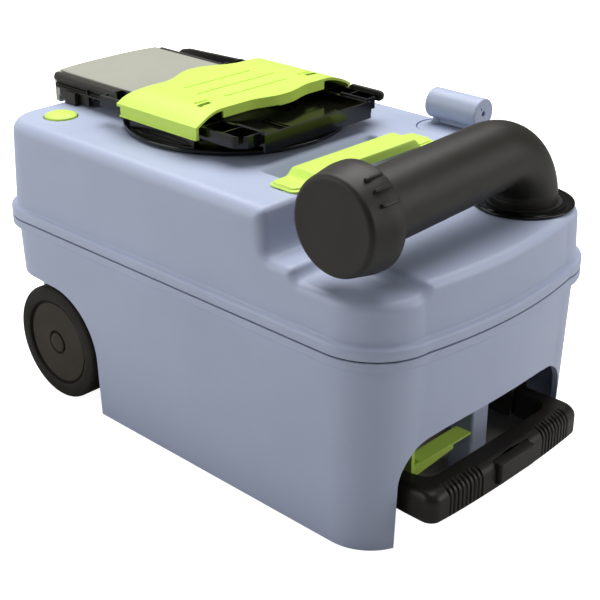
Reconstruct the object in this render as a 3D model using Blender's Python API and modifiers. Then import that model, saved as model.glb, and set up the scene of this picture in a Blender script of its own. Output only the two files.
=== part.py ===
"""Wheeled waste holding tank with a swivelling pour spout, as an assembly of separate parts.

Metres. +Z is up and z = 0 is the ground. -Y is the front, where the pull handle is, and +Y is the
wheel end. All parts are laid out about the middle of the seam flange and moved once, at the end,
by LAYOUT_SHIFT_Y, so that the origin is under the centre of the whole object.
"""

import bmesh
import bpy
from math import cos, pi, radians, sin
from mathutils import Matrix

# ---- layout -------------------------------------------------------------------------------
LAYOUT_SHIFT_Y = 0.00825
GAP = 0.0003

# ---- tank shells --------------------------------------------------------------------------
TANK_HALF_WIDTH = 0.133
TANK_HALF_LENGTH = 0.215
FRONT_CORNER_RADIUS = 0.048
REAR_CORNER_RADIUS = 0.040
FRONT_BOW = 0.0085
SEAM_Z = 0.1555
SEAL_THICKNESS = 0.0008
LIP_HEIGHT = 0.008
SKIRT_INSET = 0.0099
LOWER_WALL_INSET = 0.0052
UPPER_WALL_INSET = 0.0045
SHOULDER_INSET = 0.0065
SHOULDER_RADIUS = 0.018
TOP_Z = 0.237
SHELF_Z = 0.203
POCKET_Z = 0.195
STEP_TOP_Y = -0.0925
STEP_FOOT_Y = -0.1035
WALL = 0.004
FLOOR_Z = 0.062
BAY_ROOF_Z = 0.092
BAY_END_Y = -0.120

# ---- wheels -------------------------------------------------------------------------------
WHEEL_RADIUS = 0.050
WHEEL_Y = 0.1492
WHEEL_FACE_X = 0.1273
WHEEL_WIDTH = 0.028
WHEEL_BORE = 0.0045
AXLE_RADIUS = 0.004
POCKET_RADIUS = 0.0525
POCKET_INNER_X = 0.095

# ---- valve mechanism ----------------------------------------------------------------------
VALVE_Y = 0.057
FLANGE_RADIUS = 0.0895
FLANGE_FOOT_RADIUS = 0.0865
FLANGE_TOP_Z = 0.242
MOUTH_RADIUS = 0.052
BLADE_RADIUS = 0.057
BLADE_Z = 0.2434
BLADE_THICKNESS = 0.003
FRAME_BASE_Z = 0.251
FRAME_TOP_Z = 0.260
FRAME_HALF_WIDTH = 0.078
FRAME_FRONT_Y = -0.037
FRAME_REAR_Y = 0.131
RAIL_REAR_Y = 0.214
COVER_HALF_WIDTH = 0.053
COVER_FRONT_Y = 0.075
COVER_REAR_Y = 0.221
WING_HALF_WIDTH = 0.085
WING_TOP_Z = 0.2625
CROWN_TOP_Z = 0.270
PEG_X = 0.066
PEG_Y = 0.054

# ---- spout --------------------------------------------------------------------------------
SPOUT_X = 0.0855
SPOUT_Y = -0.1667
COLLAR_RADIUS = 0.0390
TUBE_RADIUS = 0.0263
BEND_RADIUS = 0.049
TUBE_Z = 0.2498
CAP_Z = 0.2445
CAP_RADIUS = 0.0384
CAP_FACE_X = -0.1285
CAP_REAR_X = -0.1000

# ---- top fittings -------------------------------------------------------------------------
GRIP_X = -0.0095
GRIP_Y = -0.0812
BUTTON_X = -0.089
BUTTON_Y = 0.170
BUTTON_RADIUS = 0.0132
VENT_X = 0.106
VENT_Y = -0.071
VENT_RADIUS = 0.0196
VENT_TUBE_RADIUS = 0.0121
VENT_TUBE_LENGTH = 0.050
VENT_TUBE_X = 0.1147
VENT_TUBE_Y = -0.0800
VENT_TUBE_Z = 0.2520

# ---- pull handle --------------------------------------------------------------------------
HANDLE_FRONT_Y = -0.2335
HANDLE_REAR_Y = -0.2115
HANDLE_HALF_WIDTH = 0.0905
HANDLE_LOW_Z = 0.0260
HANDLE_TOP_Z = 0.0505
ARM_INNER_X = 0.075
ARM_OUTER_X = 0.088
ARM_REAR_Y = 0.130
LATCH_HALF_WIDTH = 0.0215
LATCH_FRONT_Y = -0.2375

OBJECT_NAME = "wheeled_waste_tank"


# ---- scene helpers ------------------------------------------------------------------------
def clear_scene():
    for item in list(bpy.data.objects):
        bpy.data.objects.remove(item)


def new_collection(name):
    collection = bpy.data.collections.new(name)
    bpy.context.scene.collection.children.link(collection)
    return collection


clear_scene()
PARTS = new_collection(OBJECT_NAME)
CUTTERS = new_collection("cutters")


def make_material(name, color, roughness, metallic=0.0):
    material = bpy.data.materials.new(name)
    material.use_nodes = True
    shader = material.node_tree.nodes["Principled BSDF"]
    shader.inputs["Base Color"].default_value = (*color, 1.0)
    shader.inputs["Roughness"].default_value = roughness
    shader.inputs["Metallic"].default_value = metallic
    return material


SHELL_BLUE = make_material("shell_blue", (0.42, 0.48, 0.66), 0.45)
LIME = make_material("lime_plastic", (0.62, 0.88, 0.14), 0.40)
BLACK = make_material("black_plastic", (0.022, 0.021, 0.018), 0.35)
COVER_GREY = make_material("cover_grey", (0.55, 0.55, 0.47), 0.45)
RUBBER = make_material("seal_rubber", (0.012, 0.012, 0.012), 0.75)
WHEEL_BLACK = make_material("wheel_black", (0.015, 0.015, 0.014), 0.60)
STEEL = make_material("steel", (0.55, 0.55, 0.56), 0.30, 1.0)


def add_object(name, bm, material, collection):
    bmesh.ops.recalc_face_normals(bm, faces=bm.faces)
    mesh = bpy.data.meshes.new(name)
    bm.to_mesh(mesh)
    bm.free()
    item = bpy.data.objects.new(name, mesh)
    if material:
        mesh.materials.append(material)
    collection.objects.link(item)
    if collection is CUTTERS:
        item.hide_render = True
        item.display_type = "WIRE"
    return item


def combine(target, other, operation):
    modifier = target.modifiers.new(other.name, "BOOLEAN")
    modifier.operation = operation
    modifier.solver = "EXACT"
    modifier.object = other


def subtract(target, cutter):
    combine(target, cutter, "DIFFERENCE")


def unite(target, other):
    combine(target, other, "UNION")


# ---- mesh makers --------------------------------------------------------------------------
def loft(rings):
    """Closed solid through rings of equal length, capped at both ends."""
    bm = bmesh.new()
    loops = [[bm.verts.new(point) for point in ring] for ring in rings]
    count = len(rings[0])
    for lower, upper in zip(loops, loops[1:]):
        for i in range(count):
            j = (i + 1) % count
            bm.faces.new((lower[i], lower[j], upper[j], upper[i]))
    bm.faces.new(loops[0][::-1])
    bm.faces.new(loops[-1])
    return bm


def closed_loft(rings):
    """Closed ring-shaped solid: the last ring joins back to the first."""
    bm = bmesh.new()
    loops = [[bm.verts.new(point) for point in ring] for ring in rings]
    count = len(rings[0])
    for k, lower in enumerate(loops):
        upper = loops[(k + 1) % len(loops)]
        for i in range(count):
            j = (i + 1) % count
            bm.faces.new((lower[i], lower[j], upper[j], upper[i]))
    return bm


def box_mesh(x0, x1, y0, y1, z0, z1):
    plan = [(x0, y0), (x1, y0), (x1, y1), (x0, y1)]
    return loft([[(x, y, z) for x, y in plan] for z in (z0, z1)])


def prism_x(profile, x0, x1):
    """Profile is (y, z) pairs, swept from x0 to x1."""
    return loft([[(x, y, z) for y, z in profile] for x in (x0, x1)])


def prism_y(profile, y0, y1):
    """Profile is (x, z) pairs, swept from y0 to y1."""
    return loft([[(x, y, z) for x, z in profile] for y in (y0, y1)])


def prism_z(plan, z0, z1):
    return loft([[(x, y, z) for x, y in plan] for z in (z0, z1)])


def circle_points(radius, segments, phase=0.0):
    step = 2 * pi / segments
    return [(radius * cos(phase + i * step), radius * sin(phase + i * step)) for i in range(segments)]


def stack_z(x, y, levels, segments, phase=0.0):
    """Rings about the vertical line through (x, y); levels are (radius, z) pairs."""
    rings = []
    for radius, z in levels:
        rings.append([(x + u, y + v, z) for u, v in circle_points(radius, segments, phase)])
    return rings


def stack_x(y, z, levels, segments):
    """Rings about the line through (y, z) along X; levels are (radius, x) pairs."""
    rings = []
    for radius, x in levels:
        rings.append([(x, y + u, z + v) for u, v in circle_points(radius, segments)])
    return rings


def cylinder_z(x, y, radius, z0, z1, segments=32):
    return loft(stack_z(x, y, [(radius, z0), (radius, z1)], segments))


def cylinder_x(y, z, radius, x0, x1, segments=32):
    return loft(stack_x(y, z, [(radius, x0), (radius, x1)], segments))


def ring_z(x, y, inner, outer, z0, z1, segments=48):
    levels = [(outer, z0), (outer, z1), (inner, z1), (inner, z0)]
    return closed_loft(stack_z(x, y, levels, segments))


def coil(x, y, z, radius, wire, turns, height, along_y=False):
    """Helical spring as one closed tube; it grows along +Z, or along +Y when asked."""
    per_turn = 12
    sides = 6
    count = int(turns * per_turn) + 1
    rings = []
    for k in range(count):
        angle = 2 * pi * k / per_turn
        rise = wire + (height - 2 * wire) * k / (count - 1)
        ring = []
        for u, v in circle_points(wire, sides):
            reach = radius + u
            a = reach * cos(angle)
            b = reach * sin(angle)
            if along_y:
                ring.append((x + a, y + rise + v, z - b))
            else:
                ring.append((x + a, y + b, z + rise + v))
        rings.append(ring)
    return loft(rings)


def cutter_box(name, *sizes):
    return add_object(name, box_mesh(*sizes), None, CUTTERS)


def cutter(name, bm):
    return add_object(name, bm, None, CUTTERS)


def part(name, bm, material):
    return add_object(name, bm, material, PARTS)


# ---- tank outline -------------------------------------------------------------------------
def tank_plan(inset, corner_steps=6, front_steps=6, y_front=None, y_rear=None, bow=FRONT_BOW):
    """Rounded rectangle with a front edge bowed outwards, counter-clockwise from the front."""
    half = TANK_HALF_WIDTH - inset
    front = (-TANK_HALF_LENGTH if y_front is None else y_front) + inset
    rear = (TANK_HALF_LENGTH if y_rear is None else y_rear) - inset
    front_radius = max(FRONT_CORNER_RADIUS - inset, 0.004)
    rear_radius = max(REAR_CORNER_RADIUS - inset, 0.004)
    points = []
    for k in range(front_steps + 1):
        t = -1 + 2 * k / front_steps
        points.append((t * (half - front_radius), front - bow * (1 - t * t)))
    corners = [
        (half - front_radius, front + front_radius, front_radius, -pi / 2),
        (half - rear_radius, rear - rear_radius, rear_radius, 0.0),
        (-half + rear_radius, rear - rear_radius, rear_radius, pi / 2),
        (-half + front_radius, front + front_radius, front_radius, pi),
    ]
    for cx, cy, radius, start in corners:
        for k in range(corner_steps + 1):
            angle = start + k * (pi / 2) / corner_steps
            point = (cx + radius * cos(angle), cy + radius * sin(angle))
            if all(abs(point[0] - p[0]) + abs(point[1] - p[1]) > 1e-6 for p in (points[0], points[-1])):
                points.append(point)
    return points


def tank_rings(levels, **plan):
    return [[(x, y, z) for x, y in tank_plan(inset, **plan)] for inset, z in levels]


def shoulder_levels(top):
    """Wall from the flange to the shoulder, then the rounded shoulder up to the flat top."""
    levels = [(UPPER_WALL_INSET, SEAM_Z + LIP_HEIGHT + 0.0016)]
    for k in range(6):
        angle = k * (pi / 2) / 5
        inset = SHOULDER_INSET + SHOULDER_RADIUS * (1 - cos(angle))
        levels.append((inset, top - SHOULDER_RADIUS * (1 - sin(angle))))
    return levels


def flange_levels(bottom, top):
    return [(0.0005, bottom), (0.0, bottom + 0.0006), (0.0, top - 0.0010), (0.0010, top)]


# ---- lower shell --------------------------------------------------------------------------
def wheel_pocket_profile(grow=0.0):
    radius = POCKET_RADIUS + grow
    points = [(WHEEL_Y - radius, -0.01)]
    for k in range(9):
        angle = pi - k * (pi / 2) / 8
        points.append((WHEEL_Y + radius * cos(angle), WHEEL_RADIUS + radius * sin(angle)))
    points.append((0.240, WHEEL_RADIUS + radius + 0.004))
    points.append((0.240, -0.01))
    return points


def front_notch_profile():
    half = [(0.098, -0.01), (0.098, 0.051), (0.0915, 0.065), (0.086, 0.073), (0.077, 0.0805)]
    half += [(0.067, 0.0843), (0.045, 0.0872)]
    left = [(-x, z) for x, z in half]
    return half + [(0.0, 0.0885)] + left[::-1]


def build_lower_shell():
    levels = [(SKIRT_INSET, 0.0), (LOWER_WALL_INSET, SEAM_Z - LIP_HEIGHT - 0.0014)]
    levels += [(0.0010, SEAM_Z - LIP_HEIGHT), (0.0, SEAM_Z - LIP_HEIGHT + 0.0010)]
    levels += [(0.0, SEAM_Z - 0.0011), (0.0005, SEAM_Z - 0.0005)]
    shell = part("lower_shell", loft(tank_rings(levels)), SHELL_BLUE)

    inner = SKIRT_INSET + WALL
    tank_low = [(inner, FLOOR_Z + WALL), (inner, BAY_ROOF_Z + WALL + 0.001)]
    low = cutter("tank_cavity_low", loft(tank_rings(tank_low, y_front=BAY_END_Y - inner + WALL, bow=0.0)))
    tank_high = [(inner - 0.003, BAY_ROOF_Z + WALL), (inner - 0.006, SEAM_Z + 0.01)]
    high = cutter("tank_cavity_high", loft(tank_rings(tank_high)))
    for cavity in (low, high):
        for side, sign in (("left", -1), ("right", 1)):
            x0, x1 = sorted((sign * (POCKET_INNER_X - WALL), sign * 0.150))
            name = f"{cavity.name}_pocket_{side}"
            subtract(cavity, cutter(name, prism_x(wheel_pocket_profile(WALL), x0, x1)))
    under = [(inner, -0.002), (inner - 0.001, FLOOR_Z)]
    under_cavity = cutter("under_cavity", loft(tank_rings(under)))
    bay = [(inner, -0.002), (inner - 0.002, BAY_ROOF_Z)]
    bay_cavity = cutter("bay_cavity", loft(tank_rings(bay, y_rear=BAY_END_Y + inner)))
    for side, sign in (("left", -1), ("right", 1)):
        x0, x1 = sorted((sign * (POCKET_INNER_X - WALL), sign * POCKET_INNER_X))
        subtract(under_cavity, cutter_box(f"axle_wall_{side}", x0, x1, 0.094, 0.230, 0.020, 0.080))
    for cavity in (low, high, under_cavity, bay_cavity):
        subtract(shell, cavity)
    subtract(shell, cutter("front_notch", prism_y(front_notch_profile(), -0.260, -0.192)))
    for side, sign in (("left", -1), ("right", 1)):
        x0, x1 = sorted((sign * POCKET_INNER_X, sign * 0.150))
        subtract(shell, cutter(f"wheel_pocket_{side}", prism_x(wheel_pocket_profile(), x0, x1)))
        x0, x1 = sorted((sign * 0.088, sign * 0.098))
        hole = cylinder_x(WHEEL_Y, WHEEL_RADIUS, AXLE_RADIUS + GAP, x0, x1, 16)
        subtract(shell, cutter(f"axle_hole_{side}", hole))
    unite(shell, cutter_box("front_post", 0.0115, 0.0325, -0.186, -0.164, 0.0, BAY_ROOF_Z + 0.002))


# ---- upper shell --------------------------------------------------------------------------
def grip_hollow_profile(grow=0.0):
    low = 0.216 - grow
    return [
        (-0.0900 - grow, 0.260), (-0.0900 - grow, low), (-0.0560 + grow, low),
        (-0.0400 + grow, 0.236), (-0.0240 + grow, 0.260),
    ]


def build_upper_shell():
    flange = flange_levels(SEAM_Z + SEAL_THICKNESS - 0.0003, SEAM_Z + LIP_HEIGHT + SEAL_THICKNESS)
    shell = part("upper_shell", loft(tank_rings(flange + shoulder_levels(SHELF_Z))), SHELL_BLUE)
    high = cutter("raised_deck", loft(tank_rings([(0.006, 0.160)] + shoulder_levels(TOP_Z)[1:])))
    step = [(-0.300, 0.150), (STEP_FOOT_Y, 0.150), (STEP_FOOT_Y, SHELF_Z + 0.002)]
    step += [(-0.1005, TOP_Z - 0.008), (-0.0985, TOP_Z - 0.003), (STEP_TOP_Y, TOP_Z)]
    step += [(STEP_TOP_Y, TOP_Z + 0.004), (-0.300, TOP_Z + 0.004)]
    subtract(high, cutter("deck_step", prism_x(step, -0.160, 0.160)))
    unite(shell, high)
    pocket = []
    shoulder = ((-0.0840, -0.1345, POCKET_Z), (-0.0805, -0.1310, POCKET_Z + 0.003), (-0.0760, -0.1230, 0.210))
    for x, y, z in shoulder:
        pocket.append([(-0.160, -0.300, z), (x, -0.300, z), (x, y, z), (-0.160, y, z)])
    subtract(shell, cutter("cap_pocket", loft(pocket)))

    inner = SHOULDER_INSET + WALL
    deck_room = loft(tank_rings([(inner, 0.1555), (inner, TOP_Z - 0.014), (inner + 0.008, TOP_Z - 0.006)],
                                y_front=STEP_TOP_Y + 0.006 - inner, bow=0.0))
    deck_cavity = cutter("deck_cavity", deck_room)
    hollow_wall = prism_x(grip_hollow_profile(WALL), GRIP_X - 0.066, GRIP_X + 0.066)
    subtract(deck_cavity, cutter("grip_hollow_wall", hollow_wall))
    boss = cylinder_z(BUTTON_X, BUTTON_Y, 0.019, 0.216, 0.240, 24)
    subtract(deck_cavity, cutter("button_boss", boss))
    shelf_cavity = cutter("shelf_cavity", loft(tank_rings([(inner, 0.1500), (inner + 0.004, 0.188)])))
    subtract(shell, deck_cavity)
    subtract(shell, shelf_cavity)

    subtract(shell, cutter("grip_hollow", prism_x(grip_hollow_profile(), GRIP_X - 0.059, GRIP_X + 0.059)))
    mouth = cylinder_z(0.0, VALVE_Y, MOUTH_RADIUS + 0.008, 0.220, 0.250, 48)
    subtract(shell, cutter("mouth_hole", mouth))
    subtract(shell, cutter("button_well", cylinder_z(BUTTON_X, BUTTON_Y, 0.0141, 0.223, 0.250, 32)))
    subtract(shell, cutter("stem_hole", cylinder_z(BUTTON_X, BUTTON_Y, 0.0040, 0.205, 0.230, 16)))
    pad = cylinder_z(VENT_X, VENT_Y, VENT_RADIUS + 0.0017, 0.2150, TOP_Z - 0.0002, 40)
    unite(shell, cutter("vent_pad", pad))
    subtract(shell, cutter("vent_seat", cylinder_z(VENT_X, VENT_Y, VENT_RADIUS + GAP, 0.2335, 0.250, 32)))
    subtract(shell, cutter("vent_port", cylinder_z(VENT_X - 0.004, VENT_Y, 0.006, 0.215, 0.240, 16)))
    subtract(shell, cutter("spout_port", cylinder_z(SPOUT_X, SPOUT_Y, 0.0240, 0.180, 0.210, 32)))


def build_tank_seal():
    z0 = SEAM_Z - 0.0005 + 0.0001
    z1 = SEAM_Z + SEAL_THICKNESS - 0.0003 - 0.0001
    outer = tank_plan(0.0016)
    inner = tank_plan(0.0046)
    rings = [
        [(x, y, z0) for x, y in outer], [(x, y, z1) for x, y in outer],
        [(x, y, z1) for x, y in inner], [(x, y, z0) for x, y in inner],
    ]
    part("tank_seal", closed_loft(rings), RUBBER)


# ---- wheels -------------------------------------------------------------------------------
def build_wheel(side, sign):
    face = WHEEL_FACE_X
    back = face - WHEEL_WIDTH
    levels = [
        (WHEEL_BORE, face - 0.004), (0.0110, face - 0.004), (0.0120, face - 0.0015), (0.0345, face - 0.0015),
        (0.0355, face - 0.0035), (0.0385, face - 0.0035), (0.0395, face), (0.0475, face),
        (WHEEL_RADIUS, face - 0.003), (WHEEL_RADIUS, back + 0.003), (0.0475, back), (WHEEL_BORE, back),
    ]
    placed = [(radius, sign * x) for radius, x in levels]
    wheel = closed_loft(stack_x(WHEEL_Y, WHEEL_RADIUS, placed, 48))
    part(f"wheel_{side}", wheel, WHEEL_BLACK)
    pin = cylinder_x(WHEEL_Y, WHEEL_RADIUS, AXLE_RADIUS, sign * 0.0905, sign * (face - 0.0044), 20)
    part(f"axle_pin_{side}", pin, STEEL)
    levels = [(0.0090, sign * (face - 0.0037)), (0.0090, sign * (face - 0.0010)), (0.0075, sign * face)]
    part(f"hub_cap_{side}", loft(stack_x(WHEEL_Y, WHEEL_RADIUS, levels, 24)), WHEEL_BLACK)


# ---- valve mechanism ----------------------------------------------------------------------
def build_valve_flange():
    mouth = MOUTH_RADIUS
    top = FLANGE_TOP_Z
    levels = [
        (mouth, 0.2280), (mouth + 0.0075, 0.2280), (mouth + 0.0075, TOP_Z + GAP),
        (FLANGE_FOOT_RADIUS, TOP_Z + GAP), (FLANGE_FOOT_RADIUS, top - 0.0034), (FLANGE_RADIUS, top - 0.0034),
        (FLANGE_RADIUS, top - 0.001), (FLANGE_RADIUS - 0.001, top), (mouth, top),
    ]
    part("valve_flange", closed_loft(stack_z(0.0, VALVE_Y, levels, 64)), BLACK)
    seal = ring_z(0.0, VALVE_Y, mouth + 0.0005, mouth + 0.0045, top + 0.0002, BLADE_Z - 0.0002)
    part("lip_seal", seal, RUBBER)


def build_valve_blade():
    top = BLADE_Z + BLADE_THICKNESS
    blade = part("valve_blade", cylinder_z(0.0, VALVE_Y, BLADE_RADIUS, BLADE_Z, top, 48), BLACK)
    ears = box_mesh(-PEG_X - 0.004, PEG_X + 0.004, PEG_Y - 0.007, PEG_Y + 0.007, BLADE_Z, top)
    unite(blade, cutter("blade_ears", ears))


def frame_plan():
    half = [
        (0.059, FRAME_FRONT_Y), (0.059, -0.031), (0.070, -0.031),
        (FRAME_HALF_WIDTH, -0.023), (FRAME_HALF_WIDTH, FRAME_REAR_Y),
    ]
    left = [(-x, y) for x, y in half]
    return half + left[::-1]


def build_mechanism_frame():
    frame = part("mechanism_frame", prism_z(frame_plan(), FRAME_BASE_Z, FRAME_TOP_Z), BLACK)
    floor = FRAME_BASE_Z + 0.0025
    subtract(frame, cutter_box("cover_track", -0.0545, 0.0545, -0.0345, 0.140, floor, 0.270))
    for side, sign in (("left", -1), ("right", 1)):
        x0, x1 = sorted((sign * 0.0575, sign * 0.0745))
        for k, (y0, y1) in enumerate(((-0.0275, -0.010), (-0.007, 0.012), (0.015, 0.129))):
            subtract(frame, cutter_box(f"side_bay_{side}_{k}", x0, x1, y0, y1, floor, 0.270))
        x0, x1 = sorted((sign * 0.0622, sign * 0.0702))
        subtract(frame, cutter_box(f"peg_slot_{side}", x0, x1, PEG_Y - 0.008, 0.140, 0.240, 0.270))
        x0, x1 = sorted((sign * 0.0725, sign * 0.0775))
        foot = box_mesh(x0, x1, 0.020, 0.095, FLANGE_TOP_Z + GAP, FRAME_BASE_Z + 0.001)
        unite(frame, cutter(f"frame_foot_{side}", foot))
    subtract(frame, cutter("frame_mouth", cylinder_z(0.0, VALVE_Y, MOUTH_RADIUS, 0.245, 0.257, 48)))
    front_foot = box_mesh(-0.030, 0.030, -0.028, -0.010, FLANGE_TOP_Z + GAP, FRAME_BASE_Z + 0.001)
    unite(frame, cutter("frame_foot_front", front_foot))


def build_rail(side, sign):
    def span(a, b):
        return sorted((sign * a, sign * b))

    y0 = FRAME_REAR_Y + GAP
    x0, x1 = span(0.0546, 0.0610)
    rail = part(f"cover_rail_{side}", box_mesh(x0, x1, y0, RAIL_REAR_Y, 0.2474, 0.2580), BLACK)
    x0, x1 = span(0.0480, 0.0550)
    unite(rail, cutter_box(f"rail_ledge_{side}", x0, x1, y0, RAIL_REAR_Y, 0.2510, 0.2535))
    x0, x1 = span(0.0592, 0.0650)
    unite(rail, cutter_box(f"rail_foot_{side}", x0, x1, 0.182, 0.196, TOP_Z + GAP, 0.2480))
    x0, x1 = span(0.0590, 0.0625)
    subtract(rail, cutter_box(f"rail_groove_{side}", x0, x1, y0 - 0.01, RAIL_REAR_Y + 0.01, 0.2515, 0.2535))


def build_side_bar():
    profile = [
        (-0.0300, 0.2525), (-0.0300, 0.2570), (-0.0270, 0.2590), (0.1280, 0.2590), (0.2000, 0.2565),
        (0.2100, 0.2545), (0.2140, 0.2515), (0.2120, 0.2485), (0.2000, 0.2475), (0.1280, 0.2525),
    ]
    part("side_bar", prism_x(profile, FRAME_HALF_WIDTH + GAP, FRAME_HALF_WIDTH + 0.0035), BLACK)


def build_cover():
    plate = [(-COVER_HALF_WIDTH, 0.254), (-COVER_HALF_WIDTH, 0.2590), (-0.0520, FRAME_TOP_Z)]
    plate += [(0.0520, FRAME_TOP_Z), (COVER_HALF_WIDTH, 0.2590), (COVER_HALF_WIDTH, 0.254)]
    plate += [(0.0505, 0.254), (0.0505, 0.2575), (-0.0505, 0.2575), (-0.0505, 0.254)]
    cover = part("sliding_cover", prism_y(plate, COVER_FRONT_Y, RAIL_REAR_Y + 0.001), COVER_GREY)
    lip = box_mesh(-COVER_HALF_WIDTH, COVER_HALF_WIDTH, RAIL_REAR_Y, COVER_REAR_Y, 0.2580, FRAME_TOP_Z)
    unite(cover, cutter("cover_lip", lip))
    cap = part("cover_end_cap", box_mesh(-0.0560, 0.0560, 0.2165, 0.2205, 0.2320, 0.2576), COVER_GREY)
    for side, sign in (("left", -1), ("right", 1)):
        x0, x1 = sorted((sign * 0.0530, sign * 0.0610))
        unite(cap, cutter_box(f"end_cap_web_{side}", x0, x1, 0.2143, 0.2170, 0.2420, 0.2570))
        hole = cylinder_z(sign * 0.0500, 0.2520, 0.0018, -0.230, -0.200, 12)
        bmesh.ops.rotate(hole, cent=(0, 0, 0), matrix=Matrix.Rotation(pi / 2, 3, "X"), verts=hole.verts)
        subtract(cap, cutter(f"end_cap_hole_{side}", hole))


def crown_plan(inset=0.0):
    front = [
        (-0.050, 0.0105), (-0.032, 0.0105), (-0.024, 0.0096),
        (-0.016, 0.0068), (-0.008, 0.0045), (0.0, 0.0040),
    ]
    rear = [(-0.068, 0.0975), (-0.052, 0.0975), (-0.036, 0.0995), (-0.018, 0.1060), (0.0, 0.1090)]
    edge = [(-0.068, 0.0145), (-0.062, 0.0112)]
    left = edge + front
    right = [(-x, y) for x, y in left[:-1]]
    rear_right = [(-x, y) for x, y in rear]
    plan = left + right[::-1] + rear_right + rear[:-1][::-1]
    if not inset:
        return plan
    middle = 0.055
    return [(x * (1 - inset / 0.068), middle + (y - middle) * (1 - inset / 0.048)) for x, y in plan]


def build_bridge():
    wings = [
        (-WING_HALF_WIDTH, 0.0085), (-0.0800, 0.0090), (-0.0740, 0.0122),
        (0.0740, 0.0122), (0.0800, 0.0090), (WING_HALF_WIDTH, 0.0085),
        (WING_HALF_WIDTH, 0.0975), (0.0700, 0.1035), (-0.0700, 0.1035), (-WING_HALF_WIDTH, 0.0975),
    ]
    bridge = part("slider_bridge", prism_z(wings, FRAME_TOP_Z + 0.0005, WING_TOP_Z), LIME)
    crown = loft([
        [(x, y, FRAME_TOP_Z + 0.0005) for x, y in crown_plan()],
        [(x, y, CROWN_TOP_Z - 0.0020) for x, y in crown_plan(0.0030)],
        [(x, y, CROWN_TOP_Z) for x, y in crown_plan(0.0045)],
    ])
    unite(bridge, cutter("crown", crown))
    room = loft([
        [(x, y, FRAME_TOP_Z - 0.001) for x, y in crown_plan(0.0060)],
        [(x, y, CROWN_TOP_Z - 0.0030) for x, y in crown_plan(0.0085)],
    ])
    subtract(bridge, cutter("crown_room", room))
    for side, sign in (("left", -1), ("right", 1)):
        x0, x1 = sorted((sign * 0.0820, sign * WING_HALF_WIDTH))
        unite(bridge, cutter_box(f"wing_skirt_{side}", x0, x1, 0.0080, 0.0960, 0.2515, WING_TOP_Z - 0.0004))
        x0, x1 = sorted((sign * (PEG_X - 0.003), sign * (PEG_X + 0.003)))
        peg_low = BLADE_Z + BLADE_THICKNESS + GAP
        peg = box_mesh(x0, x1, PEG_Y - 0.006, PEG_Y + 0.006, peg_low, WING_TOP_Z - 0.0006)
        unite(bridge, cutter(f"bridge_peg_{side}", peg))
        x0, x1 = sorted((sign * 0.0520, sign * 0.0620))
        subtract(bridge, cutter_box(f"latch_slot_{side}", x0, x1, 0.0265, 0.0300, 0.255, 0.275))


# ---- spout --------------------------------------------------------------------------------
def tube_path():
    """Centreline stations (x, z, tilt of the section normal) from the collar to the mouth."""
    stations = []
    bend_x = SPOUT_X - BEND_RADIUS
    bend_z = TUBE_Z - BEND_RADIUS
    start = radians(16.0)
    stop = pi / 2 + (TUBE_Z - CAP_Z) / 0.147
    stations.append((SPOUT_X, SHELF_Z + 0.0032, 0.0))
    for k in range(9):
        angle = start + (stop - start) * k / 8
        stations.append((bend_x + BEND_RADIUS * cos(angle), bend_z + BEND_RADIUS * sin(angle), angle))
    stations.append((-0.0900, CAP_Z + 0.0006, stop))
    return stations


def tube_rings(radius, stations, segments):
    rings = []
    for x, z, angle in stations:
        ring = []
        for u, v in circle_points(radius, segments):
            ring.append((x + u * cos(angle), SPOUT_Y + v, z + u * sin(angle)))
        rings.append(ring)
    return rings


def build_spout():
    segments = 28
    stations = tube_path()
    end_z, tilt = stations[-1][1:]

    def neck(radius, x):
        return tube_rings(radius, [(x, end_z, tilt)], segments)[0]

    outer = tube_rings(TUBE_RADIUS, stations, segments)
    inner = tube_rings(TUBE_RADIUS - 0.003, stations, segments)
    outer += [neck(TUBE_RADIUS, -0.1020), neck(0.0345, -0.1040), neck(0.0345, -0.1155)]
    inner += [neck(TUBE_RADIUS - 0.003, -0.1030), neck(0.0315, -0.1050), neck(0.0315, -0.1155)]
    part("spout_tube", closed_loft(outer + inner[::-1]), BLACK)
    base = SHELF_Z + GAP
    levels = [
        (0.0245, base), (COLLAR_RADIUS, base), (COLLAR_RADIUS, base + 0.0020),
        (COLLAR_RADIUS - 0.001, base + 0.0027),
        (0.0300, base + 0.0027), (0.0300, base + 0.0020), (0.0245, base + 0.0020),
    ]
    part("spout_collar", closed_loft(stack_z(SPOUT_X, SPOUT_Y, levels, 48)), BLACK)
    seal = ring_z(SPOUT_X, SPOUT_Y, 0.0250, 0.0294, base + 0.0021, base + 0.0027, 32)
    part("spout_seal", seal, RUBBER)


def build_cap():
    face = CAP_FACE_X
    levels = [
        (CAP_RADIUS - 0.0078, face), (CAP_RADIUS - 0.0042, face + 0.0013), (CAP_RADIUS - 0.0026, face + 0.0046),
        (CAP_RADIUS - 0.0010, face + 0.0105), (CAP_RADIUS, face + 0.0180),
        (CAP_RADIUS, CAP_REAR_X), (0.0353, CAP_REAR_X), (0.0353, face + 0.0086),
    ]
    bm = loft(stack_x(SPOUT_Y, CAP_Z, levels, 40))
    part("spout_cap", bm, BLACK)
    low = face + 0.0089
    high = face + 0.0109
    levels = [(0.0340, low), (0.0340, high), (0.0318, high), (0.0318, low)]
    part("cap_seal", closed_loft(stack_x(SPOUT_Y, CAP_Z, levels, 32)), RUBBER)


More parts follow.
